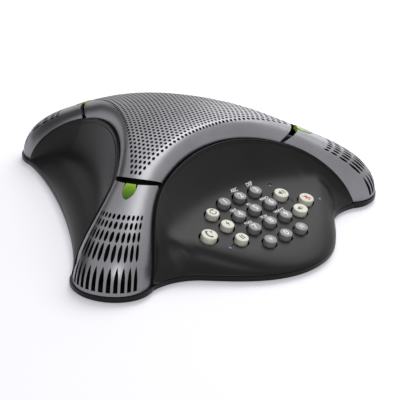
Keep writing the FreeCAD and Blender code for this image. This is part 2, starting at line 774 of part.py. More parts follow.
def housing_details(body):
    """Bosses below the panels, the speaker ring, pedestals in the legs and every hole."""
    solids = [cylinder(SPEAKER_RADIUS + RING_WALL, SPEAKER_FLANGE_Z, SPEAKER_FLANGE_Z + RING_HEIGHT)]
    for angle in ARMS.values():
        solids.append(turned(pedestal(), angle))
        solids.append(turned(light_post(), angle))
    for x, y in LOBE_BOSSES:
        solids.append(cylinder(BOSS_RADIUS, BOSS_BOTTOM, PARTING + LOBE_BOSS_HEIGHT, x, y))
    for column, row in KEYPAD_BOSSES:
        solids.append(on_keypad(column, row, KEYPAD_BOSS_RADIUS, MAT_BOTTOM, -0.5 * WALL))
    body = body.multiFuse(solids)
    holes = [cylinder(SPEAKER_OPENING, SPEAKER_FLANGE_Z - 1.0, SKY)]
    for column, row, radius in KEYS.values():
        holes.append(on_keypad(column, row, radius + KEY_CLEARANCE, -2.0 * WALL, 2.0 * WALL))
    for column, row in INDICATORS.values():
        radius = INDICATOR_RADIUS + PIPE_CLEARANCE
        holes.append(on_keypad(column, row, radius, -2.0 * WALL, 2.0 * WALL))
    for x, y in screw_places():
        pilot = CASE_SCREW_RADIUS + SCREW_CLEARANCE
        holes.append(cylinder(pilot, BOSS_BOTTOM - 1.0, BOSS_BOTTOM + PILOT_DEPTH, x, y))
    return body.cut(Part.makeCompound(holes))


def screw_places():
    places = [turned_point(Vector(MIC_REACH, 0, 0), angle) for angle in ARMS.values()]
    return [(p.x, p.y) for p in places] + list(LOBE_BOSSES)


PEDESTAL_TOP = leg_deck_z(MIC_REACH - BOOT_RADIUS) + 0.5
LIGHT_X = SEAM_REACH + 5.5
LIGHT_POST_TOP = leg_deck_z(LIGHT_X) + 3.5
BOSS_BOTTOM = BASE_BOTTOM + BASE_BOSS_HEIGHT


def pedestal():
    """Column in the leg that carries the microphone boot and takes the case screw."""
    return cylinder(PEDESTAL_RADIUS, BOSS_BOTTOM, PEDESTAL_TOP, MIC_REACH, 0)


def light_post():
    low = leg_deck_z(LIGHT_X) - 0.5 * DECK_WALL
    return cylinder(1.6, low, LIGHT_POST_TOP, LIGHT_X, 0)


def base_face(z):
    """Plan of the base: leg tips, keypad lobe and the two side lines."""
    edges = []
    half = TIP_HALF_WIDTH + RIM_STEP
    reach = ARM_REACH + TIP_RIM
    pull = 0.5523
    length = reach - TIP_CENTRE
    quarter = [Vector(TIP_CENTRE, half, z), Vector(TIP_CENTRE + pull * length, half, z),
               Vector(reach, pull * half, z), Vector(reach, 0, z)]
    for angle in ARMS.values():
        for side in (1.0, -1.0):
            poles = [turned_point(Vector(p.x, side * p.y, z), angle) for p in quarter]
            edges.append(bezier_edge(poles))
    for name, angle in VALLEYS.items():
        runs = (LOBE_FRONT, LOBE_NECK) if name == "front" else (SIDE_LINE,)
        for run in runs:
            for side in (1.0, -1.0):
                poles = [turned_point(Vector(p.x, side * p.y, z), angle) for p in run]
                edges.append(bezier_edge(poles))
    ordered = Part.sortEdges(edges)[0]
    return Part.Face(Part.Wire(ordered))


def bezier_edge(poles):
    curve = Part.BezierCurve()
    curve.setPoles(poles)
    return curve.toShape()


def base():
    """Lower tray with rim, screw bosses, foot pockets and the cable recess."""
    plan = base_face(BASE_BOTTOM + BASE_UNDERCUT)
    lower = base_face(BASE_BOTTOM).makeOffset2D(-BASE_UNDERCUT).toNurbs()
    pocket = base_face(BASE_BOTTOM + BASE_FLOOR).makeOffset2D(-BASE_WALL).toNurbs()
    rim = plan.extrude(Vector(0, 0, BASE_TOP - BASE_BOTTOM - BASE_UNDERCUT))
    tray = rim.fuse(lower.extrude(Vector(0, 0, BASE_UNDERCUT))).cut(pocket.extrude(Vector(0, 0, SKY)))
    solids = [cylinder(BASE_BOSS_RADIUS, BASE_BOTTOM + 0.5, BOSS_BOTTOM, x, y) for x, y in screw_places()]
    for x, y in MAIN_BOARD_POSTS:
        solids.append(cylinder(POST_RADIUS, BASE_BOTTOM + 0.5, MAIN_BOARD_Z, x, y))
    x0, x1, y0, y1 = RECESS
    wall = RECESS_WALL
    solids.append(box(x0 - wall, x1 + wall, y0 - wall, y1 + wall, BASE_BOTTOM + 0.5, RECESS_TOP + wall))
    tray = tray.multiFuse(solids)
    middle = 0.5 * (y0 + y1)
    half = 0.5 * CABLE_SLOT
    tray = tray.cut(box(x0, x1, y0, y1, BASE_BOTTOM - 1.0, RECESS_TOP))
    tray = tray.cut(box(x1 - 1.0, SIDE_REACH + 20.0, middle - half, middle + half,
                        BASE_BOTTOM - 1.0, BASE_TOP - SLOT_ROOF))
    wide, narrow = [], []
    for x, y in screw_places():
        wide.append(cylinder(CASE_SCREW_HEAD + HOLE_PLAY, 0.0, BASE_BOTTOM + HEAD_RECESS, x, y))
        narrow.append(cylinder(CASE_SCREW_RADIUS + HOLE_PLAY, 0.0, SKY, x, y))
    for x, y in foot_places():
        wide.append(cylinder(FOOT_RADIUS + FOOT_CLEARANCE, 0.0, FOOT_HEIGHT, x, y))
    return tray.cut(Part.makeCompound(wide)).cut(Part.makeCompound(narrow))


def foot_places():
    places = [turned_point(Vector(FOOT_REACH, 0, 0), angle) for angle in ARMS.values()]
    return [(p.x, p.y) for p in places] + list(LOBE_FEET)


def rubber_feet():
    feet = []
    for x, y in foot_places():
        foot = cylinder(FOOT_RADIUS, 0.0, FOOT_HEIGHT, x, y)
        lower = [e for e in foot.Edges if abs(e.BoundBox.ZMax) < 1e-3]
        feet.append(foot.makeChamfer(0.5, lower))
    return Part.makeCompound(feet)


def case_screws():
    """Pan-head screws from below into the housing's bosses."""
    screws = []
    for x, y in screw_places():
        seat = BASE_BOTTOM + HEAD_RECESS
        head = cylinder(CASE_SCREW_HEAD, seat - HEAD_HEIGHT, seat, x, y)
        shank = cylinder(CASE_SCREW_RADIUS, seat, BOSS_BOTTOM + PILOT_DEPTH - 1.0, x, y)
        screws.append(head.fuse(shank))
    return Part.makeCompound(screws)


def speaker_frame():
    """Pressed basket: flat flange, conical wall and back plate seat."""
    top = SPEAKER_FLANGE_Z
    low = top - SPEAKER_DEPTH + MAGNET_HEIGHT
    r, t = SPEAKER_RADIUS, FRAME_SHEET
    neck = MAGNET_RADIUS - 2.0
    inner_wall, outer_wall = r - FLANGE_WIDTH, r - FLANGE_WIDTH + t
    basket = ring([(inner_wall, top), (r, top), (r, top - t), (outer_wall, top - t),
                   (neck + t, low), (COIL_HOLE, low), (COIL_HOLE, low + t), (neck, low + t),
                   (inner_wall, top - t)])
    windows = []
    for i in range(FRAME_WINDOWS):
        slot = box(neck + 2.0, outer_wall + 4.0, -5.0, 5.0, low + 3.0, top - 5.0)
        windows.append(turned(slot, 360.0 * i / FRAME_WINDOWS))
    return basket.cut(Part.makeCompound(windows))


def speaker_magnet():
    """Ring magnet with pole piece and back plate, open where the voice coil moves."""
    top = SPEAKER_FLANGE_Z - SPEAKER_DEPTH + MAGNET_HEIGHT
    low = top - MAGNET_HEIGHT
    return ring([(0, low), (MAGNET_RADIUS, low), (MAGNET_RADIUS, top), (COIL_HOLE, top),
                 (COIL_HOLE, low + 2.0), (POLE_RADIUS, low + 2.0), (POLE_RADIUS, top + 0.5), (0, top + 0.5)])


def speaker_cone():
    """Paper cone with its coil former and dust cap."""
    top = SPEAKER_FLANGE_Z - FRAME_SHEET - CONE_TRAVEL - 0.2
    coil_low = SPEAKER_FLANGE_Z - SPEAKER_DEPTH + 2.0 + CONE_TRAVEL + 0.6
    neck = top - CONE_HEIGHT
    t = CONE_SKIN
    inside, outside = COIL_RADIUS - COIL_SKIN, COIL_RADIUS
    return ring([(outside, neck), (CONE_RADIUS, top), (CONE_RADIUS, top + t), (CAP_RADIUS, neck + t + CAP_FOOT),
                 (0.5 * CAP_RADIUS, neck + CAP_RISE), (0, neck + CAP_RISE + 1.0), (0, neck + CAP_RISE + 1.0 - t),
                 (0.5 * CAP_RADIUS, neck + CAP_RISE - t), (inside, neck + t), (inside, coil_low), (outside, coil_low)])


def speaker_surround():
    """Half-roll of rubber between cone edge and frame flange."""
    inner, outer = CONE_RADIUS - 1.2, SPEAKER_OPENING - 0.6
    foot = SPEAKER_FLANGE_Z + SEAT_GAP
    high, t = foot + SURROUND_RISE, SURROUND_SKIN
    slope = 0.3 * (outer - inner)
    return ring([(inner, foot), (inner + slope, high), (outer - slope, high), (outer, foot), (outer - t, foot),
                 (outer - slope - 0.3 * t, high - t), (inner + slope + 0.3 * t, high - t), (inner + t, foot)])


def main_board():
    x0, x1, y0, y1 = MAIN_BOARD
    board = box(x0, x1, y0, y1, MAIN_BOARD_Z, MAIN_BOARD_Z + BOARD)
    chips = []
    for x, y, wide, deep, high in CHIPS:
        chips.append(box(x - wide / 2, x + wide / 2, y - deep / 2, y + deep / 2,
                         MAIN_BOARD_Z + BOARD - 0.1, MAIN_BOARD_Z + BOARD + high))
    return board.multiFuse(chips)


def line_jack():
    """Modular socket whose mouth looks along +X into the cable recess."""
    x0, x1, y0, y1 = RECESS
    middle = 0.5 * (y0 + y1)
    body = box(x0, x0 + JACK_DEPTH, middle - JACK_WIDTH / 2, middle + JACK_WIDTH / 2,
               RECESS_TOP - JACK_HEIGHT, RECESS_TOP)
    mouth = box(x0 + 2.0, x0 + JACK_DEPTH + 1.0, middle - SOCKET_WIDTH / 2, middle + SOCKET_WIDTH / 2,
                RECESS_TOP - JACK_HEIGHT + 1.8, RECESS_TOP - JACK_HEIGHT + 1.8 + SOCKET_HEIGHT)
    return body.cut(mouth)


def microphone_boot():
    low = PEDESTAL_TOP
    boot = cylinder(BOOT_RADIUS, low, low + BOOT_HEIGHT, MIC_REACH, 0)
    well = cylinder(MIC_RADIUS + 0.05, low + BOOT_HEIGHT - MIC_HEIGHT - MIC_SINK, SKY, MIC_REACH, 0)
    return boot.cut(well)


def microphone():
    low = PEDESTAL_TOP + BOOT_HEIGHT - MIC_HEIGHT - MIC_SINK
    capsule = cylinder(MIC_RADIUS, low, low + MIC_HEIGHT, MIC_REACH, 0)
    port = cylinder(MIC_PORT, low + MIC_HEIGHT - MIC_SINK, SKY, MIC_REACH, 0)
    return capsule.cut(port)


def status_light():
    """Small board with its lamp, standing on the post below the lens."""
    low = LIGHT_POST_TOP
    board = box(LIGHT_X - 4.5, LIGHT_X + 4.5, -4.0, 4.0, low, low + 1.0)
    lamp = box(LIGHT_X - 1.6, LIGHT_X + 1.6, -1.4, 1.4, low + 0.9, low + 2.6)
    return board.fuse(lamp)


def export(name, shape):
    """Write one piece, moved so that the whole phone is centred over the origin."""
    solids = [solid.copy() for solid in shape.Solids]
    moved = solids[0] if len(solids) == 1 else Part.makeCompound(solids)
    moved.translate(Vector(0, FRAME_SHIFT, 0))
    moved.exportStep(os.path.join("parts", name + ".step"))


def main():
    os.makedirs("parts", exist_ok=True)
    export("speaker_grille", speaker_grille())
    export("upper_housing", upper_housing())
    export("base", base())
    leg_pieces = {
        "leg_cover": leg_cover(),
        "status_lens": status_lens(),
        "status_light": status_light(),
        "microphone": microphone(),
        "microphone_boot": microphone_boot(),
    }
    for piece, shape in leg_pieces.items():
        for arm, angle in ARMS.items():
            export(piece + "_" + arm, turned(shape, angle))
    for name, (column, row, radius) in KEYS.items():
        export(name, key(column, row, radius))
    for name, (column, row) in INDICATORS.items():
        export(name, indicator(column, row))
    export("keypad_mat", keypad_mat())
    export("keypad_board", keypad_plate(BOARD_BOTTOM, MAT_BOTTOM))
    export("main_board", main_board())
    export("line_jack", line_jack())
    export("speaker_frame", speaker_frame())
    export("speaker_magnet", speaker_magnet())
    export("speaker_cone", speaker_cone())
    export("speaker_surround", speaker_surround())
    export("rubber_feet", rubber_feet())
    export("case_screws", case_screws())


main()
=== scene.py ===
import bpy
import json
import math
import numpy as np
from mathutils import Matrix, Vector
from mathutils.bvhtree import BVHTree
from mathutils.geometry import delaunay_2d_cdt, tessellate_polygon


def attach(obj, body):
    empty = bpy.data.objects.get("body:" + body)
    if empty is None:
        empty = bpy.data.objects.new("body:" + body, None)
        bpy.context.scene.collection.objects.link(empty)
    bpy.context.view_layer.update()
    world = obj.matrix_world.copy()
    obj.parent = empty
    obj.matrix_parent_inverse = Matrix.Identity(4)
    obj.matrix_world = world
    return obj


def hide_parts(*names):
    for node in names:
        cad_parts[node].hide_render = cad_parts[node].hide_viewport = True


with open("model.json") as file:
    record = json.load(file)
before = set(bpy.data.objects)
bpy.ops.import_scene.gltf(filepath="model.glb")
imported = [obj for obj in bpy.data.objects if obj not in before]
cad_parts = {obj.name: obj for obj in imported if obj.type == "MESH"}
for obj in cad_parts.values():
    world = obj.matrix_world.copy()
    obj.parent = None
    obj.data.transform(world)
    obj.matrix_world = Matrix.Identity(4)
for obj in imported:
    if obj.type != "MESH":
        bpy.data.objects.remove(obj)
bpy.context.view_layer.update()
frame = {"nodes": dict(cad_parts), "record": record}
nodes = frame["nodes"]

# Sizes of the phone in millimetres. The outlines are those of the construction model; gaps, edges,
# slots and holes are the finer ones that show. Shapes are worked out about the point where the three
# arms meet and moved by FRAME_SHIFT when a mesh is made.
MM = 0.001
ARM_REACH = 133.8
SEAM_REACH = 78.0
CROWN_HEIGHT = 64.0
CROWN_FALL = 18.2
LOBE_REACH = 118.9
SIDE_REACH = 68.2
PARTING = 5.5
SHELL = 1.8
EDGE_ROLL = 10.0
EDGE_SKIRT = 0.2
ARCH_CENTRE = 170.0
ARCH_RADIUS = 135.0
SEAM_SAG = 10.5
SEAM_GAP = 4.2
ARCH_GAP = 2.0
TIP_LENGTH = 20.8
TIP_HALF_WIDTH = 22.4
NECK_HALF_WIDTH = 12.6
RIM_STEP = 2.0
TIP_RIM = 0.6
RIDGE_SHOULDER = 26.5
TIP_BULGE = 21.0
SECTION_POWER = 2.1
CROWN_RADIUS = (SEAM_REACH ** 2 + CROWN_FALL ** 2) / (2.0 * CROWN_FALL)
CROWN_CENTRE_Z = PARTING + CROWN_HEIGHT - CROWN_RADIUS
TIP_CENTRE = ARM_REACH - TIP_LENGTH
FRAME_SHIFT = -(ARM_REACH + TIP_RIM - LOBE_REACH) / 2.0
ARMS = {"back": 90.0, "left": 210.0, "right": 330.0}
VALLEYS = {"front": 270.0, "side_right": 30.0, "side_left": 150.0}
ARM_TO_VALLEY = math.radians(60.0)

# Side line of a leg cover: where its neck and its heel draw it, along the arm and in height
NECK_STATION = 0.54
NECK_RISE = 0.79
HEEL_BACK = 5.5
HEEL_SWELL = 0.4
HEEL_RISE = 0.40

# Perforation
GRILLE_ROWS = 40
GRILLE_HOLE = 0.31
GRILLE_CORNER = 80.8
GRILLE_MARGIN = 3.9
GRILLE_CROWDING = 0.27
END_ROW_HOLES = 3
HOLE_SIDES = 12
GRILLE_SHEET = 0.9
ROLL_START = 2.0
ROLL_REACH = 7.5
ROLL_END_REACH = 13.5
ROLL_POWER = 2.3
ARCH_COUNT = 49
ROLL_COUNT = 10
SEAM_COUNT = 13
FILL_REACH = 90.0
FILL_STEP = 2.5

# Leg covers
SLOT_COLUMNS = 11
SLOT_SHARE = 0.62
SLOT_ROWS = ((0.306, 0.050), (0.377, 0.068), (0.474, 0.098), (0.612, 0.168), (0.848, 0.238))
SLOT_SPREAD = 51.0
SLOT_POINTS = 9
SLOT_ROUNDNESS = 0.45
SQUARE_SLOT_SHARE = 1.6
SQUARE_SLOT_ROUNDNESS = 0.7
LEG_LENGTH = 82.0
LEG_GIRTH = 0.36
LEG_GUESS = (56.0, 15.0)
LEG_SIDE_STEPS = 34
LEG_TIP_STEPS = 41
SEAM_END_SHARE = 0.985

# Status lens
LENS_LENGTH = 12.6
LENS_HALF_WIDTH = 3.7
LENS_SHOULDER = 0.42
LENS_POINT = 1.4
LENS_GAP = 0.12
LENS_PROUD = 0.35
LENS_THICKNESS = 2.6
LENS_FILL_STEP = 0.5

# Black housing
BEAD_RISE = -0.7
EDGE_DIVE = 1.3
DECK_DROP = 1.5
DECK_STEP = 0.6
LATE_NARROWING = 0.6
LOBE_HALF_WIDTH = 56.0
LOBE_SHOULDER = 32.4
KEYPAD_TILT = math.radians(16.2)
KEYPAD_CENTRE = 71.6
KEYPAD_HEIGHT = 17.86
COVE_WIDTH = 24.0
SIDE_SHELF_HEIGHT = 10.0
SIDE_SHELF_SLOPE = 0.75
SIDE_COVE_WIDTH = 18.0
FRONT_RIM = 9.0
SIDE_RIM = 6.0
COVE_LIMIT = 0.55
RIM_LIMIT = 0.4
LIP_REACH = 1.9
LIP_POWER = 2.6
BEAD_RADIUS = 0.5
BEAD_FADE = 0.15
BEAD_LEAST = 0.02
BEAD_SIDES = 12
ARCH_SPLIT = 0.45
PANEL_END = 0.97
LATE_START = 0.5
LATE_LENGTH = 0.25
LOWEST_RISE = 0.3
THINNEST_WALL = 0.15
WALL = 2.2
WALL_SHARE = 0.8
ACROSS = np.linspace(-PANEL_END, PANEL_END, 121)
RIM_ROWS = 13
COVE_ROWS = 30
SPEAKER_OPENING = 29.5
DECK_REACH = 2.0
DECK_TUCK = 5.0
DECK_SPREAD = 1.05
DECK_SIDES = 144
DECK_ROWS = 8
DECK_COLUMNS = 9
SHELF_SHARE = 0.85
SHELF_FADE = 0.55
SHELF_BLEND = 1.0
SHELF_LATE_BLEND = 9.0

# Outline of the housing in plan: how its corners draw the curves
LOBE_ROUNDNESS = 0.46
FLANK_PULL = (14.5, -14.0, 0)
NECK_PULL = (-6.2, 6.0, 0)
CORNER_PULL = (-2.4, -13.0, 0)
SIDE_BELLY = 45.0
SIDE_PULL = (-3.6, -11.0, 0)

# Keypad: columns to the right, rows down the slope, in key pitches
KEY_PITCH = 13.16
KEY_RIGHT = np.array([1.0, 0.0, 0.0])
KEY_DOWN = np.array([0.0, -math.cos(KEYPAD_TILT), -math.sin(KEYPAD_TILT)])
KEY_NORMAL = np.array([0.0, -math.sin(KEYPAD_TILT), math.cos(KEYPAD_TILT)])
KEY_ORIGIN = np.array([0.0, -KEYPAD_CENTRE, PARTING + KEYPAD_HEIGHT])
DIAL, FUNCTION, VOLUME, PHONE = 4.4, 4.6, 5.0, 5.6
CAP_SHARE = {DIAL: 0.89, FUNCTION: 0.86, VOLUME: 0.89, PHONE: 0.86}
KEYS = {"key_" + name: (i % 3 - 1, i // 3 - 1, DIAL)
        for i, name in enumerate((*"123456789", "star", "0", "pound"))}
KEYS |= {"key_redial": (-2.07, -0.64, FUNCTION), "key_flash": (-2.03, 0.29, FUNCTION),
         "key_hold": (-2.10, 1.30, FUNCTION), "key_phone": (-3.31, 0.47, PHONE),
         "key_volume_up": (1.99, -0.27, VOLUME), "key_volume_down": (1.98, 1.0, VOLUME),
         "key_mute": (2.85, 0.55, VOLUME)}
INDICATORS = {"indicator_hold": (-2.89, 1.42), "indicator_volume": (2.15, -1.11),
              "indicator_mute": (3.63, 0.74)}
KEY_CLEARANCE = 0.45
INDICATOR_RADIUS = 1.1
INDICATOR_GAP = 0.05
KEY_PROUD = 3.0
KEY_EDGE = 0.5
KEY_TOP = 3.12
KEY_FOOT = -4.0
KEY_FLANGE = 0.9
KEY_FLANGE_TOP = -2.8
KEY_SHOULDER = -1.0
KEY_TURNS = 48
KEY_CREASE = math.radians(40.0)
WELL_SIDES = 40

# Printed signs, and the painted shade of two grooves
INK_LIFT = 0.03
INK_DEPTH = 0.08
PANEL_INK_SINK = 0.05
SIGN_RAY_HEIGHT = 100.0
LETTERS = dict(zip("23456789", ("ABC", "DEF", "GHI", "JKL", "MNO", "PQRS", "TUV", "WXYZ")))
LETTER_BOLDNESS = 0.025
DIGIT_HEIGHT = 4.3
LETTER_HEIGHT = 2.1
SIGN_SCALE = 1.15
LETTER_SHIFT = (0.15, -0.52)
# The hold and volume grooves are not cut: the shade in each is painted as a flat near-black strip laid on the
# panel.
GROOVE_SHADES = {"hold_line": ((-2.515, 1.285), (-2.775, 1.38)), "volume_line": ((2.33, 0.03), (2.27, 0.35))}
GROOVE_WIDTH = 0.5

# Floor, light and camera, in metres
FLOOR_HALF_WIDTH = 4.0
FLOOR_GLOW = 0.385
CARD_HALF_WIDTH = 0.85
CARD_HEIGHT = 0.75
SKY_LIGHT = 0.22
LIGHT_TARGET = (0, 0, 0.03)
CAMERA_AZIMUTH = math.radians(-44.75)
CAMERA_HEIGHT = math.radians(23.86)
CAMERA_DISTANCE = 0.9338
CAMERA_TARGET = (0.00933, -0.01643 + FRAME_SHIFT * MM, 0.00964)
CAMERA_ROLL = math.radians(1.47)
CAMERA_LENS = 135.0

# Numbers of steps in searches
SEARCH_STEPS = 45
NEWTON_ROUNDS = 30
NEWTON_SHARE = 0.8

# How near a hole's middle a point is left out or looked at, in radii of the hole
CLEAR_OF_HOLE = 1.25
NEAR_HOLE = 1.05


# Vectors and curves

def unit(v):
    return v / np.maximum(np.linalg.norm(v, axis=-1, keepdims=True), 1e-12)


def turn_z(points, degrees):
    a = math.radians(degrees)
    c, s = math.cos(a), math.sin(a)
    p = np.asarray(points, float)
    return np.stack([p[..., 0] * c - p[..., 1] * s, p[..., 0] * s + p[..., 1] * c, p[..., 2]], axis=-1)


def bezier(controls, t):
    t = np.asarray(t, float)[..., None]
    a, b, c, d = [np.asarray(v, float) for v in controls]
    s = 1.0 - t
    return a * s ** 3 + b * (3 * t * s * s) + c * (3 * t * t * s) + d * t ** 3


def crown_z(x, y, drop=0.0):
    return CROWN_CENTRE_Z + np.sqrt((CROWN_RADIUS - drop) ** 2 - x * x - y * y)


def arch_half_width(x, inset=0.0):
    cx, cy = ARCH_CENTRE * math.cos(ARM_TO_VALLEY), ARCH_CENTRE * math.sin(ARM_TO_VALLEY)
    return cy - math.sqrt((ARCH_RADIUS + inset) ** 2 - (x - cx) ** 2)


def to_valley(p):
    p = np.asarray(p, float)
    c, s = math.cos(ARM_TO_VALLEY), math.sin(ARM_TO_VALLEY)
    return np.stack([p[..., 0] * c + p[..., 1] * s, p[..., 0] * s - p[..., 1] * c, p[..., 2]], axis=-1)


SEAM_END_X = SEAM_REACH - SEAM_SAG
SEAM_END_Y = arch_half_width(SEAM_END_X)
SEAM_END_Z = float(crown_z(SEAM_END_X, SEAM_END_Y)) - EDGE_ROLL
SEAM_TOP_Z = float(crown_z(SEAM_REACH, 0.0))
SEAM_SLOPE = SEAM_REACH / math.sqrt(CROWN_RADIUS ** 2 - SEAM_REACH ** 2)
SHOULDER_X = SEAM_REACH + RIDGE_SHOULDER
RIDGE = ((SEAM_REACH, 0, SEAM_TOP_Z), (SHOULDER_X, 0, SEAM_TOP_Z - RIDGE_SHOULDER * SEAM_SLOPE),
         (ARM_REACH, 0, PARTING + TIP_BULGE), (ARM_REACH, 0, PARTING))
EDGE_FALL = SEAM_END_Z - PARTING
EDGE = ((SEAM_END_X, SEAM_END_Y, SEAM_END_Z),
        (SEAM_END_X + NECK_STATION * (TIP_CENTRE - SEAM_END_X), NECK_HALF_WIDTH,
         PARTING + NECK_RISE * EDGE_FALL),
        (TIP_CENTRE - HEEL_BACK, TIP_HALF_WIDTH + HEEL_SWELL, PARTING + HEEL_RISE * EDGE_FALL),
        (TIP_CENTRE, TIP_HALF_WIDTH, PARTING))


def surface_normal(surface, a, b, a_span, b_span):
    """Unit normal of surface(a, b), from the differences over a short span of each."""
    along = surface(a_span[1], b) - surface(a_span[0], b)
    across = surface(a, b_span[1]) - surface(a, b_span[0])
    return unit(np.cross(along, across))


def leg_point(s, turn):
    """Leg cover surface in the arm frame; s and turn are arrays, turn in degrees."""
    s, turn = np.asarray(s, float), np.asarray(turn, float)
    ridge, edge = bezier(RIDGE, s), bezier(EDGE, s)
    power = 2.0 / SECTION_POWER
    rad = np.radians(turn)
    across = np.abs(np.sin(rad)) ** power * np.sign(turn)
    fall = 1.0 - np.abs(np.cos(rad)) ** power
    x = ridge[..., 0] + (edge[..., 0] - ridge[..., 0]) * fall
    y = edge[..., 1] * across
    z = ridge[..., 2] + (edge[..., 2] - ridge[..., 2]) * fall
    return np.stack([x, y, z], axis=-1)


def leg_normal(s, turn):
    s, turn = np.asarray(s, float), np.asarray(turn, float)
    turn = np.clip(turn, -89.0, 89.0)
    turn = np.where(np.abs(turn) < 1.0, 1.0, turn)
    s = np.clip(s, -0.2, 0.985)
    return surface_normal(leg_point, s, turn, (s - 1e-3, s + 1e-3), (turn - 0.1, turn + 0.1))


def bisect(low, high, below):
    """Where below() turns from true to false between low and high, for one value or an array."""
    for _ in range(SEARCH_STEPS):
        middle = (low + high) / 2
        held = below(middle)
        low, high = np.where(held, middle, low), np.where(held, high, middle)
    return low


# Making of objects and meshes

def add_object(name, data):
    obj = bpy.data.objects.new(name, data)
    bpy.context.scene.collection.objects.link(obj)
    return obj


def make_object(name, points, faces, normals, look, body="phone"):
    """Mesh object from points in working millimetres, with a normal for each face corner if given."""
    spots = (np.asarray(points, float) + np.array([0.0, FRAME_SHIFT, 0.0])) * MM
    mesh = bpy.data.meshes.new(name)
    mesh.from_pydata([tuple(p) for p in spots], [], [tuple(int(i) for i in f) for f in faces])
    mesh.polygons.foreach_set("use_smooth", [True] * len(mesh.polygons))
    if normals is not None:
        mesh.normals_split_custom_set([tuple(n) for n in normals])
    mesh.update()
    mesh.materials.append(LOOKS[look])
    obj = add_object(name, mesh)
    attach(obj, body)
    return obj


def stand_in(node):
    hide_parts(node)


def paint_shade(obj, dark):
    """Gives the marked faces near-black painted shade, standing in for shadow on inner sides, hole and slot
    walls and key flanges.
    """
    obj.data.materials.append(LOOKS["deep_black"])
    obj.data.polygons.foreach_set("material_index", dark)


def silver_skin(name, node, points, faces, corner, shown):
    """Silver shell whose first faces are the ones that show; the rest, its underside and the walls of its
    holes, get near-black painted shade.
    """
    obj = make_object(name, points, faces, corner, "silver_paint")
    paint_shade(obj, [int(i >= shown) for i in range(len(faces))])
    stand_in(node)


def thicken(points, faces, normals, depth):
    """Closed shell: an outer sheet, the same sheet moved inwards, and walls along every open edge.
    Returns points, faces and a normal for each face corner."""
    count = len(points)
    edges = dict.fromkeys((a, b) for f in faces for a, b in zip(f, f[1:] + f[:1]))
    inner = points - normals * depth
    all_faces = faces + [tuple(i + count for i in reversed(f)) for f in faces]
    corner = [normals[i] for f in faces for i in f] + [-normals[i] for f in faces for i in reversed(f)]
    for a, b in edges:
        if (b, a) not in edges:
            all_faces.append((b, a, a + count, b + count))
            corner.extend([unit(np.cross(points[a] - points[b], inner[a] - points[b]))] * 4)
    return np.concatenate([points, inner]), all_faces, np.array(corner)


def inside(points, ring):
    """Which of the 2-D points lie inside a closed ring."""
    p = np.asarray(points, float)
    result = np.zeros(len(p), bool)
    x, y = p[:, 0], p[:, 1]
    a, b = np.asarray(ring, float), np.roll(np.asarray(ring, float), -1, axis=0)
    for (x1, y1), (x2, y2) in zip(a, b):
        if y1 == y2:
            continue
        hit = ((y1 > y) != (y2 > y)) & (x < (x2 - x1) * (y - y1) / (y2 - y1) + x1)
        result ^= hit
    return result


def near_ring(points, ring, share):
    """Which of the 2-D points lie near a hole, share being a part of its largest radius."""
    centre = ring.mean(axis=0)
    reach = np.linalg.norm(ring - centre, axis=1).max()
    return np.linalg.norm(points - centre, axis=1) < reach * share


def planar_mesh(outline, holes, fill):
    """Triangles that fill an outline with holes, using extra fill points. All points are 2-D."""
    outline = np.asarray(outline, float)
    holes = [np.asarray(h, float) for h in holes]
    keep = inside(fill, outline)
    for hole in holes:
        keep &= ~near_ring(fill, hole, CLEAR_OF_HOLE)
    points = np.concatenate([outline] + holes + [fill[keep]])
    edges, start = [], 0
    for ring in [outline] + holes:
        loop = list(range(start, start + len(ring)))
        edges.extend(zip(loop, loop[1:] + loop[:1]))
        start += len(ring)
    out = delaunay_2d_cdt([Vector(p) for p in points], edges, [], 0, 1e-6, False)
    verts = np.array([list(v) for v in out[0]])
    faces = np.array([list(f) for f in out[2]])
    middle = verts[faces].mean(axis=1)
    good = inside(middle, outline)
    for hole in holes:
        near = np.nonzero(near_ring(middle, hole, NEAR_HOLE))[0]
        good[near[inside(middle[near], hole)]] = False
    return verts, faces[good]


def upward(points, faces, normals):
    """Turns each face so that its winding agrees with the surface normals."""
    result = []
    for f in faces:
        f = tuple(int(i) for i in f)
        face_normal = np.cross(points[f[1]] - points[f[0]], points[f[2]] - points[f[0]])
        result.append(f if np.dot(face_normal, normals[f[0]]) >= 0 else f[::-1])
    return result


def grid_faces(rows, columns):
    starts = [i * columns + j for i in range(rows - 1) for j in range(columns - 1)]
    return [(a, a + 1, a + columns + 1, a + columns) for a in starts]


def grid_points(first, second):
    """Every pair from two rows of values, the second one changing first."""
    return np.stack(np.meshgrid(first, second, indexing="ij"), axis=-1).reshape(-1, 2)


def join(pieces):
    """One set of points and faces from several."""
    joined, faces, start = [], [], 0
    for points, some in pieces:
        joined.append(np.asarray(points, float))
        faces.extend(tuple(int(i) + start for i in f) for f in some)
        start += len(points)
    return np.concatenate(joined), faces


def weld(points, normals, faces, places=3):
    """Joins points that lie on each other."""
    keys, index, kept = {}, [], []
    for i, p in enumerate(np.round(points, places)):
        key = tuple(p + 0.0)
        if key not in keys:
            keys[key] = len(kept)
            kept.append(i)
        index.append(keys[key])
    faces = [tuple(dict.fromkeys(index[i] for i in f)) for f in faces]
    return points[kept], normals[kept], [f for f in faces if len(f) > 2]


# Materials

def new_material(name, colour, roughness, metallic=0.0, coat=0.0, specular=0.5):
    material = bpy.data.materials.new(name)
    material.use_nodes = True
    shader = material.node_tree.nodes["Principled BSDF"]
    for socket, value in (("Base Color", (*colour, 1.0)), ("Roughness", roughness), ("Metallic", metallic),
                          ("Coat Weight", coat), ("Specular IOR Level", specular)):
        shader.inputs[socket].default_value = value
    return material, material.node_tree, shader


def add_node(tree, kind, inputs, **options):
    """New shader node; each input is given as a plain value or as the socket that drives it."""
    node = tree.nodes.new("ShaderNode" + kind)
    for name, value in options.items():
        setattr(node, name, value)
    for name, value in inputs.items():
        if isinstance(value, bpy.types.NodeSocket):
            tree.links.new(value, node.inputs[name])
        else:
            node.inputs[name].default_value = value
    return node


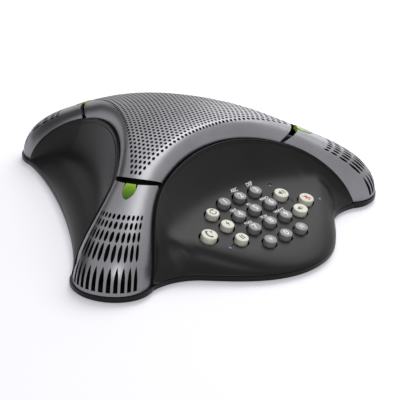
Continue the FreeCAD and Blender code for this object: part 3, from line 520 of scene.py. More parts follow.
def noise(tree, scale, detail=3.0):
    """Socket of a noise that lies still on the object."""
    place_on_object = add_node(tree, "TexCoord", {}).outputs["Object"]
    return add_node(tree, "TexNoise", {"Scale": scale, "Detail": detail, "Roughness": 0.55,
                                       "Vector": place_on_object}).outputs["Fac"]


def ramp(tree, source, low, high, stops=(0.35, 0.65)):
    node = add_node(tree, "ValToRGB", {"Fac": source})
    for element, position, colour in zip(node.color_ramp.elements, stops, (low, high)):
        element.position, element.color = position, (*colour, 1.0)
    return node


def between(tree, share, low, high, start=0.0, stop=1.0):
    """Socket that runs from low to high while the share runs from start to stop."""
    return add_node(tree, "MapRange", {"To Min": low, "To Max": high, "From Min": start, "From Max": stop,
                                       "Value": share}).outputs["Result"]


def textured(name, low, high, roughness, spread, grain, depth, metallic=0.0, coat=0.0, bump=0.25,
             specular=0.5):
    """Material whose colour drifts between two tones, with its roughness and a fine grained relief."""
    middle = [(a + b) / 2 for a, b in zip(low, high)]
    material, tree, shader = new_material(name, middle, roughness, metallic, coat, specular)
    cloud = noise(tree, 35.0)
    relief = add_node(tree, "Bump", {"Strength": bump, "Distance": depth * MM,
                                     "Height": noise(tree, grain, 2.0)})
    tree.links.new(ramp(tree, cloud, low, high).outputs["Color"], shader.inputs["Base Color"])
    tree.links.new(between(tree, cloud, roughness - spread, roughness + spread), shader.inputs["Roughness"])
    tree.links.new(relief.outputs["Normal"], shader.inputs["Normal"])
    return material


# Two tones, roughness and its spread, fineness and depth (in millimetres) of the grain, and what else differs
SURFACES = {
    "silver_paint": ((0.205, 0.205, 0.218), (0.235, 0.235, 0.25), 0.37, 0.03, 1500.0, 0.05,
                     {"metallic": 1.0, "bump": 0.4}),
    "black_plastic": ((0.008, 0.0076, 0.008), (0.011, 0.0105, 0.0105), 0.38, 0.04, 1500.0, 0.08,
                      {"specular": 0.17}),
    # Near-black painted shade for inner sides, hole and slot walls, key flanges and the decks under the
    # grille; the jack's black plastic uses it too.
    "deep_black": ((0.005, 0.005, 0.005), (0.008, 0.008, 0.008), 0.6, 0.05, 900.0, 0.08, {"specular": 0.1}),
    "key_grey": ((0.235, 0.235, 0.25), (0.26, 0.26, 0.275), 0.38, 0.04, 2200.0, 0.03, {}),
    "key_ivory": ((0.80, 0.79, 0.68), (0.84, 0.83, 0.73), 0.36, 0.04, 2200.0, 0.03, {}),
    "ink_white": ((0.86, 0.86, 0.86), (0.92, 0.92, 0.92), 0.5, 0.04, 2500.0, 0.01, {}),
    "ink_olive": ((0.055, 0.055, 0.035), (0.075, 0.075, 0.05), 0.5, 0.04, 2500.0, 0.01, {}),
    "ink_red": ((0.60, 0.03, 0.02), (0.70, 0.05, 0.03), 0.5, 0.04, 2500.0, 0.01, {}),
    # Painted shade of a groove.
    "groove_black": ((0.002, 0.002, 0.002), (0.003, 0.003, 0.003), 0.8, 0.04, 2500.0, 0.01,
                     {"specular": 0.05}),
    "light_pipe": ((0.07, 0.12, 0.23), (0.11, 0.18, 0.32), 0.2, 0.03, 600.0, 0.03, {"coat": 0.5}),
    "circuit_board": ((0.010, 0.10, 0.035), (0.016, 0.13, 0.05), 0.35, 0.05, 900.0, 0.04, {}),
    "rubber_black": ((0.012, 0.012, 0.012), (0.02, 0.02, 0.02), 0.75, 0.06, 1400.0, 0.1, {}),
    "silicone_grey": ((0.30, 0.30, 0.31), (0.36, 0.36, 0.37), 0.6, 0.05, 1200.0, 0.05, {}),
    "zinc_steel": ((0.48, 0.48, 0.46), (0.58, 0.58, 0.55), 0.35, 0.08, 1800.0, 0.04, {"metallic": 1.0}),
    "magnet_iron": ((0.05, 0.05, 0.055), (0.08, 0.08, 0.085), 0.5, 0.08, 700.0, 0.08, {"metallic": 0.6}),
    "cone_paper": ((0.035, 0.03, 0.027), (0.055, 0.048, 0.04), 0.85, 0.05, 1600.0, 0.1, {}),
    "card_black": ((0.02, 0.02, 0.02), (0.025, 0.025, 0.025), 0.9, 0.02, 500.0, 0.1, {"specular": 0.0})}


def lens_material():
    """Clear green plastic with painted light: lit pale at the seam, shaded to deep green at its tip, with
    streaks along it.
    """
    material, tree, shader = new_material("lens_green", (0.16, 0.34, 0.02), 0.15, specular=0.2)
    place_on_object = add_node(tree, "TexCoord", {}).outputs["Object"]
    from_middle = add_node(tree, "VectorMath", {0: place_on_object, 1: (0.0, FRAME_SHIFT * MM, 0.05)},
                           operation="SUBTRACT")
    reach = add_node(tree, "VectorMath", {0: from_middle.outputs["Vector"]}, operation="LENGTH")
    wander = add_node(tree, "Math", {0: noise(tree, 420.0, 2.0), 1: 0.004, 2: reach.outputs["Value"]},
                      operation="MULTIPLY_ADD")
    share = between(tree, wander.outputs["Value"], 0.0, 1.0, (SEAM_REACH + 2.5) * MM,
                    (SEAM_REACH + LENS_LENGTH + 2.0) * MM)
    # Painted light and shade: the ramp runs from a lit pale yellow-green at the seam to a shaded deep green
    # at the tip.
    colour = ramp(tree, share, (0.42, 0.66, 0.04), (0.035, 0.10, 0.003), (0.1, 0.95))
    colour.color_ramp.elements.new(0.5).color = (0.14, 0.33, 0.008, 1.0)
    tree.links.new(colour.outputs["Color"], shader.inputs["Base Color"])
    return material


LOOKS = {name: textured(name, *plain, **other) for name, (*plain, other) in SURFACES.items()}
LOOKS |= {"lens_green": lens_material(), "capsule_metal": LOOKS["zinc_steel"],
          "jack_plastic": LOOKS["deep_black"]}
for part in frame["record"]["subparts"]:
    mesh = nodes[part["node"]].data
    mesh.materials.clear()
    mesh.materials.append(LOOKS[part["material_slot"]])


# Silver crown with its perforation

SEAM_ARC_REACH = SEAM_REACH - SEAM_GAP / 2.0
ARCH_ANGLE = math.asin(float(to_valley(EDGE[0])[1]) / ARCH_RADIUS)


def seam_circle(reach):
    """Circle through the three points of a seam end, as (centre x, radius), in the arm frame."""
    end_x = reach - SEAM_SAG
    end_y = arch_half_width(end_x)
    radius = (SEAM_SAG ** 2 + end_y ** 2) / (2.0 * SEAM_SAG)
    return reach - radius, radius


def edge_fall(inset, a):
    """How far the crown has fallen at a distance inside the arch edge, a being the angle along the arch."""
    late = np.minimum(np.abs(a) / ARCH_ANGLE, 1.0) ** 3
    reach = ROLL_REACH + (ROLL_END_REACH - ROLL_REACH) * late
    near = np.clip(1.0 - inset / reach, 0.0, 1.0) ** ROLL_POWER
    return EDGE_ROLL * (1.0 - np.sqrt(np.maximum(1.0 - near, 0.0)))


def grille_top(x, y):
    """Crown with its three rolled edges, above plan positions."""
    z = crown_z(x, y)
    for angle in VALLEYS.values():
        c, s = math.cos(math.radians(angle)), math.sin(math.radians(angle))
        u, w = ARCH_CENTRE - (x * c + y * s), y * c - x * s
        z = z - edge_fall(np.hypot(u, w) - ARCH_RADIUS, np.arctan2(w, u))
    return np.stack([x, y, z], axis=-1)


def roll_surface(a, roll):
    inset = ROLL_START * (1.0 - np.sin(roll * math.pi / 2))
    radius = ARCH_RADIUS + inset
    u, w = ARCH_CENTRE - radius * np.cos(a), radius * np.sin(a)
    return np.stack([u, w, crown_z(u, w) - edge_fall(inset, a)], axis=-1)


def roll_point(a, roll):
    """Edge roll of the crown in the valley frame: a along the arch, roll 0 on the crown to 1 at the skirt."""
    a, roll = np.broadcast_arrays(np.asarray(a, float), np.asarray(roll, float))
    step = 1e-4
    span = np.maximum(roll - step, 0.0), np.minimum(roll + step, 1.0)
    normal = surface_normal(lambda roll, a: roll_surface(a, roll), roll, a, span, (a - step, a + step))
    return roll_surface(a, roll), normal


def roll_limit(roll):
    """Largest a at which the rolled edge still lies inside the seam arc."""
    centre_x, radius = seam_circle(SEAM_ARC_REACH)

    def within(a):
        arm = to_valley(roll_point(a, roll)[0])
        return arm[0] < centre_x + math.sqrt(max(radius ** 2 - arm[1] ** 2, 0.0))

    return float(bisect(0.0, 0.6, within))


def grille_edge(share):
    """Outer line of the holes along one arch, in plan of the valley frame; share runs from -1 to 1."""
    corner = np.array([GRILLE_CORNER * math.cos(ARM_TO_VALLEY), GRILLE_CORNER * math.sin(ARM_TO_VALLEY)])
    full = math.atan2(corner[1], ARCH_CENTRE - corner[0])
    a = full * share * (1.0 - GRILLE_CROWDING + GRILLE_CROWDING * np.abs(share))
    end_radius = math.hypot(ARCH_CENTRE - corner[0], corner[1])
    late = (a / full) ** 2
    radius = ARCH_RADIUS + GRILLE_MARGIN + (end_radius - ARCH_RADIUS - GRILLE_MARGIN) * late
    return np.stack([ARCH_CENTRE - radius * np.cos(a), radius * np.sin(a)], axis=-1)


def lattice_step(cells, spots, i, j, di, dj):
    """Step from cell (i, j) to the next, from the neighbours on both sides or the one that it has."""
    here = cells[(i, j)]
    ahead, behind = cells.get((i + di, j + dj), here), cells.get((i - di, j - dj), here)
    return (spots[ahead] - spots[behind]) / ((ahead != here) + (behind != here))


def grille_lattice():
    """Hole centres in a three-sided lattice stretched over the crown, each with the map of its cell."""
    last = GRILLE_ROWS - 1
    order = [(i, j) for i in range(GRILLE_ROWS) for j in range(GRILLE_ROWS - i)]
    cells = {cell: n for n, cell in enumerate(order)}
    spots = np.zeros((len(cells), 2))
    edge = np.pad(grille_edge(np.linspace(-1.0, 1.0, GRILLE_ROWS)), ((0, 0), (0, 1)))
    lines = [turn_z(edge, valley)[:, :2] for valley in VALLEYS.values()]
    fixed = np.zeros(len(cells), bool)
    for k in range(GRILLE_ROWS):
        for line, cell in zip(lines, ((k, 0), (last - k, k), (0, last - k))):
            spots[cells[cell]] = line[k]
            fixed[cells[cell]] = True
    steps = ((1, 0), (-1, 0), (0, 1), (0, -1), (1, -1), (-1, 1))
    matrix = np.eye(len(cells))
    for (i, j), n in cells.items():
        if not fixed[n]:
            for di, dj in steps:
                matrix[n, cells[(i + di, j + dj)]] = -1.0 / len(steps)
    spots = np.linalg.solve(matrix, spots)
    found = []
    for (i, j), n in cells.items():
        if max(i, j, last - i - j) <= last - END_ROW_HOLES + 1:
            first = lattice_step(cells, spots, i, j, 1, 0)
            second = (lattice_step(cells, spots, i, j, 0, 1) - first / 2.0) / math.sin(ARM_TO_VALLEY)
            found.append((spots[n], first, second))
    return found


def seam_points(here, ahead):
    """Points along the seam arc from the end of one arch to the start of the next, in plan."""
    centre_x, radius = seam_circle(SEAM_ARC_REACH)
    middle_angle = math.atan2(here[1] + ahead[1], here[0] + ahead[0])
    centre = np.array([math.cos(middle_angle), math.sin(middle_angle)]) * centre_x
    start, stop = [math.atan2(p[1] - centre[1], p[0] - centre[0]) for p in (here, ahead)]
    sweep = (stop - start + math.pi) % (2 * math.pi) - math.pi
    a = start + sweep * np.arange(1, SEAM_COUNT) / SEAM_COUNT
    return centre + radius * np.stack([np.cos(a), np.sin(a)], axis=-1)


def build_grille():
    share = np.linspace(-1, 1, ARCH_COUNT)
    rolls = np.linspace(0, 1, ROLL_COUNT)
    limits = [roll_limit(r) for r in rolls]
    edge, _ = roll_point(share * limits[0], 0.0)
    arches = [turn_z(edge, VALLEYS[valley])[:, :2] for valley in ("side_left", "front", "side_right")]
    ring = np.concatenate([np.concatenate([arch, seam_points(arch[-1], following[0])])
                           for arch, following in zip(arches, arches[1:] + arches[:1])])
    angles = np.arange(HOLE_SIDES) * 2 * math.pi / HOLE_SIDES
    holes = [spot + GRILLE_HOLE * (np.outer(np.cos(angles), first) + np.outer(np.sin(angles), second))
             for spot, first, second in grille_lattice()]
    fill = np.arange(-FILL_REACH, FILL_REACH, FILL_STEP)
    flat, faces = planar_mesh(ring, holes, grid_points(fill, fill))
    x, y = flat.T
    pieces = [(grille_top(x, y), faces)]
    normals = [surface_normal(grille_top, x, y, (x - 0.01, x + 0.01), (y - 0.01, y + 0.01))]
    for valley in VALLEYS.values():
        rows = [roll_point(share * limit, r) for r, limit in zip(rolls, limits)]
        rows.append((rows[-1][0] - np.array([0.0, 0.0, EDGE_SKIRT]), rows[-1][1]))
        points = turn_z(np.concatenate([p for p, _ in rows]), valley)
        pieces.append((points, grid_faces(len(rows), ARCH_COUNT)))
        normals.append(turn_z(np.concatenate([n for _, n in rows]), valley))
    points, faces = join(pieces)
    points, normals, faces = weld(points, np.concatenate(normals), faces)
    faces = upward(points, faces, normals)
    shown = len(faces)
    points, faces, corner = thicken(points, faces, normals, GRILLE_SHEET)
    silver_skin("grille_skin", "speaker_grille", points, faces, corner, shown)


build_grille()

# Silver leg covers

def leg_flat(s, turn):
    """The leg surface's own flat coordinates, in millimetres."""
    s, turn = np.broadcast_arrays(np.asarray(s, float), np.asarray(turn, float))
    return np.stack([s * LEG_LENGTH, turn * LEG_GIRTH], axis=-1)


def find_on_leg(x, y):
    """Station and turn of the leg surface point above plan position (x, y)."""
    s = np.clip((x - SEAM_REACH) / LEG_GUESS[0], -0.1, 1.0)
    turn = np.degrees(np.arcsin(np.clip(y / LEG_GUESS[1], -0.95, 0.95)))
    for _ in range(NEWTON_ROUNDS):
        p = leg_point(s, turn)
        ds = (leg_point(s + 1e-4, turn) - p) / 1e-4
        dt = (leg_point(s, turn + 1e-2) - p) / 1e-2
        ex, ey = x - p[..., 0], y - p[..., 1]
        det = ds[..., 0] * dt[..., 1] - ds[..., 1] * dt[..., 0]
        det = np.where(np.abs(det) < 1e-9, 1e-9, det)
        s = s + NEWTON_SHARE * (ex * dt[..., 1] - ey * dt[..., 0]) / det
        turn = np.clip(turn + NEWTON_SHARE * (ey * ds[..., 0] - ex * ds[..., 1]) / det, -89.5, 89.5)
    return s, turn


def leg_sheet(outline, holes, fill):
    """Sheet of the leg surface inside an outline, all given in its flat coordinates."""
    flat, faces = planar_mesh(outline, holes, fill)
    s, turn = flat[:, 0] / LEG_LENGTH, flat[:, 1] / LEG_GIRTH
    points, normals = leg_point(s, turn), leg_normal(s, turn)
    return points, normals, upward(points, faces, normals)


def bullet(grow, count):
    """Bullet outline of the status lens in plan, from one seam corner round the tip to the other."""
    shoulder, tip = SEAM_REACH + LENS_LENGTH * LENS_SHOULDER, SEAM_REACH + LENS_LENGTH + grow
    a = np.linspace(-math.pi / 2, math.pi / 2, count)
    x = shoulder + (tip - shoulder) * np.cos(a)
    return x, (LENS_HALF_WIDTH + grow) * np.sign(a) * np.abs(np.sin(a)) ** LENS_POINT


def seam_line(y):
    """How far out the leg covers and lenses start, at a distance y beside the arm's middle."""
    centre_x, radius = seam_circle(SEAM_REACH + SEAM_GAP / 2.0)
    return centre_x + np.sqrt(radius ** 2 - y * y)


def slot_outline(centre, length, half_turn, square_end):
    """Slot outline as stations and turns: lens-shaped, the last row with a square lower end."""
    share = np.linspace(0.0, 1.0, SLOT_POINTS)
    if square_end:
        grown = np.minimum(share * SQUARE_SLOT_SHARE, 1.0)
        swell, back = np.sin(grown * math.pi / 2) ** SQUARE_SLOT_ROUNDNESS, slice(None, 0, -1)
    else:
        swell, back = np.sin(share * math.pi) ** SLOT_ROUNDNESS, slice(-2, 0, -1)
    stations = centre - length / 2.0 + length * share
    return np.concatenate([stations, stations[back]]), np.concatenate([swell, -swell[back]]) * half_turn


def build_legs():
    start_y = arch_half_width(SEAM_REACH + SEAM_GAP / 2.0 - SEAM_SAG) * SEAM_END_SHARE
    lens_x, lens_y = bullet(LENS_GAP, 13)
    left = np.linspace(-start_y, lens_y[0], 9)
    right = np.linspace(lens_y[-1], start_y, 9)
    s, turn = find_on_leg(np.concatenate([seam_line(left), lens_x, seam_line(right)]),
                          np.concatenate([left, lens_y, right]))
    outline = np.concatenate([leg_flat(s, turn),
                              leg_flat(np.linspace(s[-1], 1.0, LEG_SIDE_STEPS)[1:], 90.0),
                              leg_flat(1.0, np.linspace(90, -90, LEG_TIP_STEPS)[1:]),
                              leg_flat(np.linspace(1.0, s[0], LEG_SIDE_STEPS)[1:], -90.0)])
    holes = []
    for centre, length in SLOT_ROWS:
        for column in np.linspace(-1.0, 1.0, SLOT_COLUMNS):
            half_turn = SLOT_SHARE * SLOT_SPREAD / (SLOT_COLUMNS - 1)
            stations, turns = slot_outline(centre, length, half_turn, centre == SLOT_ROWS[-1][0])
            holes.append(leg_flat(stations, SLOT_SPREAD * column + turns))
    fill = grid_points(np.linspace(-0.1, 1.0, 46) * LEG_LENGTH, np.linspace(-90, 90, 49) * LEG_GIRTH)
    points, normals, faces = leg_sheet(outline, holes, fill)
    shown = len(faces)
    points, faces, corner = thicken(points, faces, normals, SHELL)
    for arm, angle in ARMS.items():
        silver_skin("leg_skin_" + arm, "leg_cover_" + arm, turn_z(points, angle), faces,
                    turn_z(corner, angle), shown)


build_legs()

# Status lenses

def build_lenses():
    lens_x, lens_y = bullet(0.0, 25)
    side = np.linspace(lens_y[-1], lens_y[0], 9)[1:-1]
    s, turn = find_on_leg(np.concatenate([lens_x, seam_line(side)]), np.concatenate([lens_y, side]))
    outline = leg_flat(s, turn)
    spans = [np.arange(line.min(), line.max(), LENS_FILL_STEP) for line in outline.T]
    points, normals, faces = leg_sheet(outline, [], grid_points(*spans))
    edge_gap = np.array([np.min(np.hypot(p[0] - lens_x, p[1] - lens_y)) for p in points])
    soft = np.clip(edge_gap, 0.0, 1.0)
    points = points + normals * (LENS_PROUD * np.sqrt(1.0 - (1.0 - soft) ** 2))[:, None]
    points, faces, corner = thicken(points, faces, normals, LENS_THICKNESS)
    for arm, angle in ARMS.items():
        obj = make_object("lens_body_" + arm, turn_z(points, angle), faces, turn_z(corner, angle),
                          "lens_green")
        stand_in("status_lens_" + arm)


build_lenses()

# Black housing

CORNER = to_valley((TIP_CENTRE, TIP_HALF_WIDTH + RIM_STEP, 0.0))
FLANK = np.array([LOBE_REACH - LOBE_SHOULDER, LOBE_HALF_WIDTH, 0.0])
LOBE_FRONT = ((LOBE_REACH, 0, 0), (LOBE_REACH, LOBE_ROUNDNESS * LOBE_HALF_WIDTH, 0),
              FLANK + FLANK_PULL, FLANK)
LOBE_NECK = (FLANK, FLANK + NECK_PULL, CORNER + CORNER_PULL, CORNER)
SIDE_LINE = ((SIDE_REACH, 0, 0), (SIDE_REACH, SIDE_BELLY, 0), CORNER + SIDE_PULL, CORNER)


def arch_edge(t, gap):
    """Edge of the black housing beside the silver, valley frame, t from 0 at mid arch to 1 at the tip."""
    t = np.asarray(t, float)
    a = ARCH_ANGLE * t / ARCH_SPLIT
    silver_u, silver_w = ARCH_CENTRE - ARCH_RADIUS * np.cos(a), ARCH_RADIUS * np.sin(a)
    radius = ARCH_RADIUS - gap
    arch = np.stack([ARCH_CENTRE - radius * np.cos(a), radius * np.sin(a),
                     crown_z(silver_u, silver_w) - EDGE_ROLL + BEAD_RISE], axis=-1)
    s = np.maximum(t - ARCH_SPLIT, 0.0) / (1.0 - ARCH_SPLIT)
    here, ahead = bezier(EDGE, s), bezier(EDGE, s + 0.01)
    direction = unit((ahead - here) * np.array([1, 1, 0]))
    out = np.stack([-direction[..., 1], direction[..., 0], np.zeros_like(t)], axis=-1)
    late = s ** 6
    moved = here + out * (gap * (1.0 - LATE_NARROWING * late))[..., None]
    moved[..., 2] = here[..., 2] + BEAD_RISE - EDGE_DIVE * late
    return np.where((t <= ARCH_SPLIT)[..., None], arch, to_valley(moved))


def outline_point(valley, t):
    t = np.asarray(t, float)
    if valley != "front":
        return bezier(SIDE_LINE, t)
    return np.where((t <= 0.5)[..., None], bezier(LOBE_FRONT, np.minimum(2.0 * t, 1.0)),
                    bezier(LOBE_NECK, np.maximum(2.0 * t - 1.0, 0.0)))


def shelf_z(valley, u):
    if valley == "front":
        return PARTING + KEYPAD_HEIGHT + (KEYPAD_CENTRE - u) * math.tan(KEYPAD_TILT)
    return PARTING + SIDE_SHELF_HEIGHT + (SIDE_REACH - 4.0 - u) * SIDE_SHELF_SLOPE


def soft_lower(a, b, width):
    return 0.5 * (a + b - np.sqrt((a - b) ** 2 + width * width))


def section(valley, t):
    """Start point, direction, length, cove and rim widths of the panel section at t."""
    side = np.where(np.asarray(t) < 0, -1.0, 1.0)
    a, o = arch_edge(np.abs(t), ARCH_GAP), outline_point(valley, np.abs(t))
    run = (o - a) * np.array([1, 1, 0])
    length = np.linalg.norm(run, axis=-1)
    out = run / length[..., None]
    front = valley == "front"
    cove = np.minimum(COVE_WIDTH if front else SIDE_COVE_WIDTH, COVE_LIMIT * length)
    rim = np.minimum(FRONT_RIM if front else SIDE_RIM, RIM_LIMIT * length)
    return side, a, out, length, cove, rim


def panel_point(valley, t, k):
    """Panel surface: t across the valley, k 0 at the arch, 1 where the rim starts, 2 at the parting line."""
    t, k = np.broadcast_arrays(np.asarray(t, float), np.asarray(k, float))
    side, a, out, length, cove, rim = section(valley, t)
    flat = length - rim
    late = np.clip((np.abs(t) - LATE_START) / LATE_LENGTH, 0.0, 1.0)
    late = late * late * (3.0 - 2.0 * late) if valley == "front" else 0.0
    turn = np.clip(k - 1.0, 0.0, 1.0) * math.pi / 2
    d = np.where(k <= 1.0, flat * k, flat + rim * np.sin(turn))
    x, y = a[..., 0] + out[..., 0] * d, a[..., 1] + out[..., 1] * d
    share = SHELF_SHARE - SHELF_FADE * late * d / length
    level = soft_lower(shelf_z(valley, x), PARTING + share * (a[..., 2] - PARTING),
                       SHELF_BLEND + SHELF_LATE_BLEND * late)
    height = level + (a[..., 2] - level) * np.maximum(0.0, 1.0 - d / cove) ** 3 - PARTING
    near = np.clip(1.0 - (length - d) / (LIP_REACH * rim), 0.0, 1.0)
    z = PARTING + np.maximum(height, LOWEST_RISE) * np.sqrt(1.0 - near ** LIP_POWER)
    return np.stack([x, side * y, z], axis=-1)


def panel_normal(valley, t, k):
    e = 1e-4
    t = np.where(np.abs(t) < 2e-4, 2e-4, t)
    return surface_normal(lambda k, t: panel_point(valley, t, k), k, t,
                          (np.maximum(k - e, 0.0), np.minimum(k + e, 1.9999)), (t - e, t + e))


def on_pad(column, row, x, y, height):
    """Points at offsets x to the right and y up the slope of a keypad place."""
    x, y, height = np.broadcast_arrays(x, y, height)
    spot = KEY_ORIGIN + KEY_RIGHT * (column * KEY_PITCH) + KEY_DOWN * (row * KEY_PITCH)
    return spot + x[..., None] * KEY_RIGHT - y[..., None] * KEY_DOWN + height[..., None] * KEY_NORMAL


def find_on_panel(valley, plan):
    """Panel coordinates (t, k) of plan positions in the valley frame, for places between arch and rim."""
    u, w = plan[:, 0], np.abs(plan[:, 1])

    def beyond(t):
        _, a, out, _, _, _ = section(valley, t)
        return (u - a[:, 0]) * out[:, 1] - (w - a[:, 1]) * out[:, 0] < 0

    t = bisect(np.zeros(len(plan)), np.full(len(plan), PANEL_END), beyond)
    _, a, out, length, _, rim = section(valley, t)
    d = (u - a[:, 0]) * out[:, 0] + (w - a[:, 1]) * out[:, 1]
    return t * np.where(plan[:, 1] < 0, -1.0, 1.0), d / (length - rim)


def panel_rows(valley, ks):
    """Rows of the panel across the valley, as points, normals and faces."""
    k, t = grid_points(ks, ACROSS).T
    return panel_point(valley, t, k), panel_normal(valley, t, k), grid_faces(len(ks), len(ACROSS))


def gap_wall(valley):
    """Wall of the gap beside the silver, down to the sunken deck."""
    top = panel_point(valley, ACROSS, 0.0)
    low = top - np.array([0.0, 0.0, BEAD_RISE + DECK_DROP + DECK_STEP])
    inner = arch_edge(np.abs(ACROSS), ARCH_GAP - DECK_TUCK)
    inner[:, 1] *= np.where(ACROSS < 0, -1.0, 1.0)
    inner[:, 2] = low[:, 2]
    return np.concatenate([inner, low, top]), grid_faces(3, len(ACROSS))


def edge_bead(valley):
    """Rounded lip of the housing beside the silver."""
    line = panel_point(valley, ACROSS, 0.0)
    ahead = unit(np.gradient(line, axis=0))
    side = unit(np.cross(ahead, np.array([0.0, 0.0, 1.0])))
    up = np.cross(side, ahead)
    turns = np.linspace(0.0, 2.0 * math.pi, BEAD_SIDES + 1)
    outward = np.concatenate([math.cos(q) * side + math.sin(q) * up for q in turns])
    radius = BEAD_RADIUS * np.clip((PANEL_END - np.abs(ACROSS)) / BEAD_FADE, BEAD_LEAST, 1.0)
    points = np.tile(line, (len(turns), 1)) + np.tile(radius, len(turns))[:, None] * outward
    return points, outward, grid_faces(len(turns), len(ACROSS))


def well_ring(column, row, radius, sides, angle):
    """Hole round a key or indicator, in plan of the front valley."""
    a = np.arange(sides) * 2 * math.pi / sides
    return turn_z(on_pad(column, row, radius * np.cos(a), radius * np.sin(a), 0.0), -angle)[:, :2]


def front_panel(valley, angle):
    """The keypad panel above its rim, with a hole for each key and indicator."""
    steps = np.linspace(0, 1, 12)[1:-1]
    sides = ((ACROSS, 0.0), (PANEL_END, steps), (ACROSS[::-1], 1.0), (-PANEL_END, steps[::-1]))
    ring = np.concatenate([panel_point(valley, t, k) for t, k in sides])
    holes = [well_ring(column, row, radius + KEY_CLEARANCE, WELL_SIDES, angle)
             for column, row, radius in KEYS.values()]
    holes += [well_ring(column, row, INDICATOR_RADIUS + INDICATOR_GAP, WELL_SIDES // 2, angle)
              for column, row in INDICATORS.values()]
    k, t = grid_points(np.linspace(0.02, 0.98, COVE_ROWS), np.linspace(-0.96, 0.96, 95)).T
    flat, faces = planar_mesh(ring[:, :2], holes, panel_point(valley, t, k)[:, :2])
    t, k = find_on_panel(valley, flat)
    points, normals = panel_point(valley, t, np.clip(k, 0, 1)), panel_normal(valley, t, np.clip(k, 0, 1))
    points[:, :2] = flat
    return points, normals, upward(points, faces, normals)


def build_panel(valley, angle):
    if valley == "front":
        points, normals, faces = front_panel(valley, angle)
    else:
        points, normals, faces = panel_rows(valley, np.linspace(0, 1, COVE_ROWS))
    rim_points, rim_normals, rim_faces = panel_rows(valley, 1.0 + np.linspace(0, 1, RIM_ROWS) ** 0.8)
    points, faces = join([(points, faces), (rim_points, rim_faces)])
    points, normals, faces = weld(points, np.concatenate([normals, rim_normals]), faces, 2)
    depth = np.clip(WALL_SHARE * (points[:, 2] - PARTING), THINNEST_WALL, WALL)[:, None]
    points, faces, corner = thicken(points, upward(points, faces, normals), normals, depth)
    return turn_z(points, angle), faces, turn_z(corner, angle)


def deck_reach(angle):
    """How far the deck under the grille reaches, a little way under the arches."""
    local = math.radians(min(abs((angle - arm + 180) % 360 - 180) for arm in ARMS.values()))
    return bisect(SPEAKER_OPENING, SEAM_REACH + DECK_REACH,
                  lambda r: r * math.sin(local) < arch_half_width(r * math.cos(local), -ARCH_GAP - 1.0))


def build_decks():
    """Sunken decks under the grille and the leg covers, black housing made blacker with painted shade, so
    that holes, slots and the gaps beside the silver read as shadow.
    """
    pieces = []
    for valley, angle in VALLEYS.items():
        points, faces = gap_wall(valley)
        pieces.append((turn_z(points, angle), faces))
    angles = np.linspace(0, 2 * math.pi, DECK_SIDES + 1)
    reaches = np.array([deck_reach(angle) for angle in np.degrees(angles)])
    shares = np.linspace(0, 1, DECK_ROWS)
    r = SPEAKER_OPENING + (reaches - SPEAKER_OPENING) * shares[:, None]
    x, y = r * np.cos(angles), r * np.sin(angles)
    points = np.stack([x, y, crown_z(x, y, EDGE_ROLL + DECK_DROP)], axis=-1)
    pieces.append((points.reshape(-1, 3), grid_faces(len(shares), len(angles))))
    edge = bezier(EDGE, np.linspace(-0.08, 0.99, 24))[:, None]
    shares = np.linspace(-1, 1, DECK_COLUMNS)
    points = np.stack(np.broadcast_arrays(edge[..., 0], edge[..., 1] * shares * DECK_SPREAD,
                                          edge[..., 2] - DECK_DROP), axis=-1).reshape(-1, 3)
    for angle in ARMS.values():
        pieces.append((turn_z(points, angle), grid_faces(len(edge), len(shares))))
    return make_object("housing_decks", *join(pieces), None, "deep_black")


def build_housing():
    """The housing in pieces. Returns the front panel's surface, on which the signs are laid."""
    shells = []
    for valley, angle in VALLEYS.items():
        points, faces, corner = build_panel(valley, angle)
        if valley == "front":
            skin = BVHTree.FromPolygons([tuple(p) for p in points], faces)
        shells.append(make_object("housing_" + valley, points, faces, corner, "black_plastic"))
        points, normals, faces = edge_bead(valley)
        faces = upward(points, faces, normals)
        shells.append(make_object("lip_" + valley, turn_z(points, angle), faces, None, "black_plastic"))
    shells.append(build_decks())
    for obj in shells:
        stand_in("upper_housing")
    return skin


FRONT_SKIN = build_housing()

# Keys

def lathe(profile, turns):
    """Points and faces of a turned form from (radius, height) corners, closed at both ends."""
    a = np.arange(turns) * 2 * math.pi / turns
    points = [np.stack([r * np.cos(a), r * np.sin(a), np.full(turns, z)], axis=-1) for r, z in profile]
    faces = []
    for i in range(0, (len(profile) - 1) * turns, turns):
        for j in range(turns):
            k = (j + 1) % turns
            faces.append((i + j, i + k, i + turns + k, i + turns + j))
    top = (len(profile) - 1) * turns
    faces.append(tuple(range(turns))[::-1])
    faces.append(tuple(range(top, top + turns)))
    return np.concatenate(points), faces


def build_keys():
    for name, (column, row, well) in KEYS.items():
        radius = well * CAP_SHARE[well]
        flat = radius - KEY_EDGE
        rounding = [(flat + KEY_EDGE * math.cos(q), KEY_PROUD - KEY_EDGE + KEY_EDGE * math.sin(q))
                    for q in np.linspace(0, math.pi / 2, 7)]
        dome = [(flat * k, KEY_TOP - (KEY_TOP - KEY_PROUD) * k ** 6) for k in (0.92, 0.8, 0.5, 0.02)]
        profile = [(0.02, KEY_FOOT), (well + KEY_FLANGE, KEY_FOOT), (well + KEY_FLANGE, KEY_FLANGE_TOP),
                   (radius, KEY_FLANGE_TOP), (radius, KEY_SHOULDER)] + rounding + dome
        points, faces = lathe(profile, KEY_TURNS)
        world = on_pad(column, row, points[:, 0], points[:, 1], points[:, 2])
        look = "key_grey" if well == DIAL else "key_ivory"
        obj = make_object(name + "_cap", world, faces, None, look, name + "_button")
        # The flange under the panel and the foot get near-black painted shade, so that the gap round each cap
        # reads as shadow.
        flange = 3 * KEY_TURNS
        cap = len(faces) - flange - 2
        paint_shade(obj, [1] * flange + [0] * cap + [1, 0])
        obj.data.set_sharp_from_angle(angle=KEY_CREASE)
        stand_in(name)


build_keys()
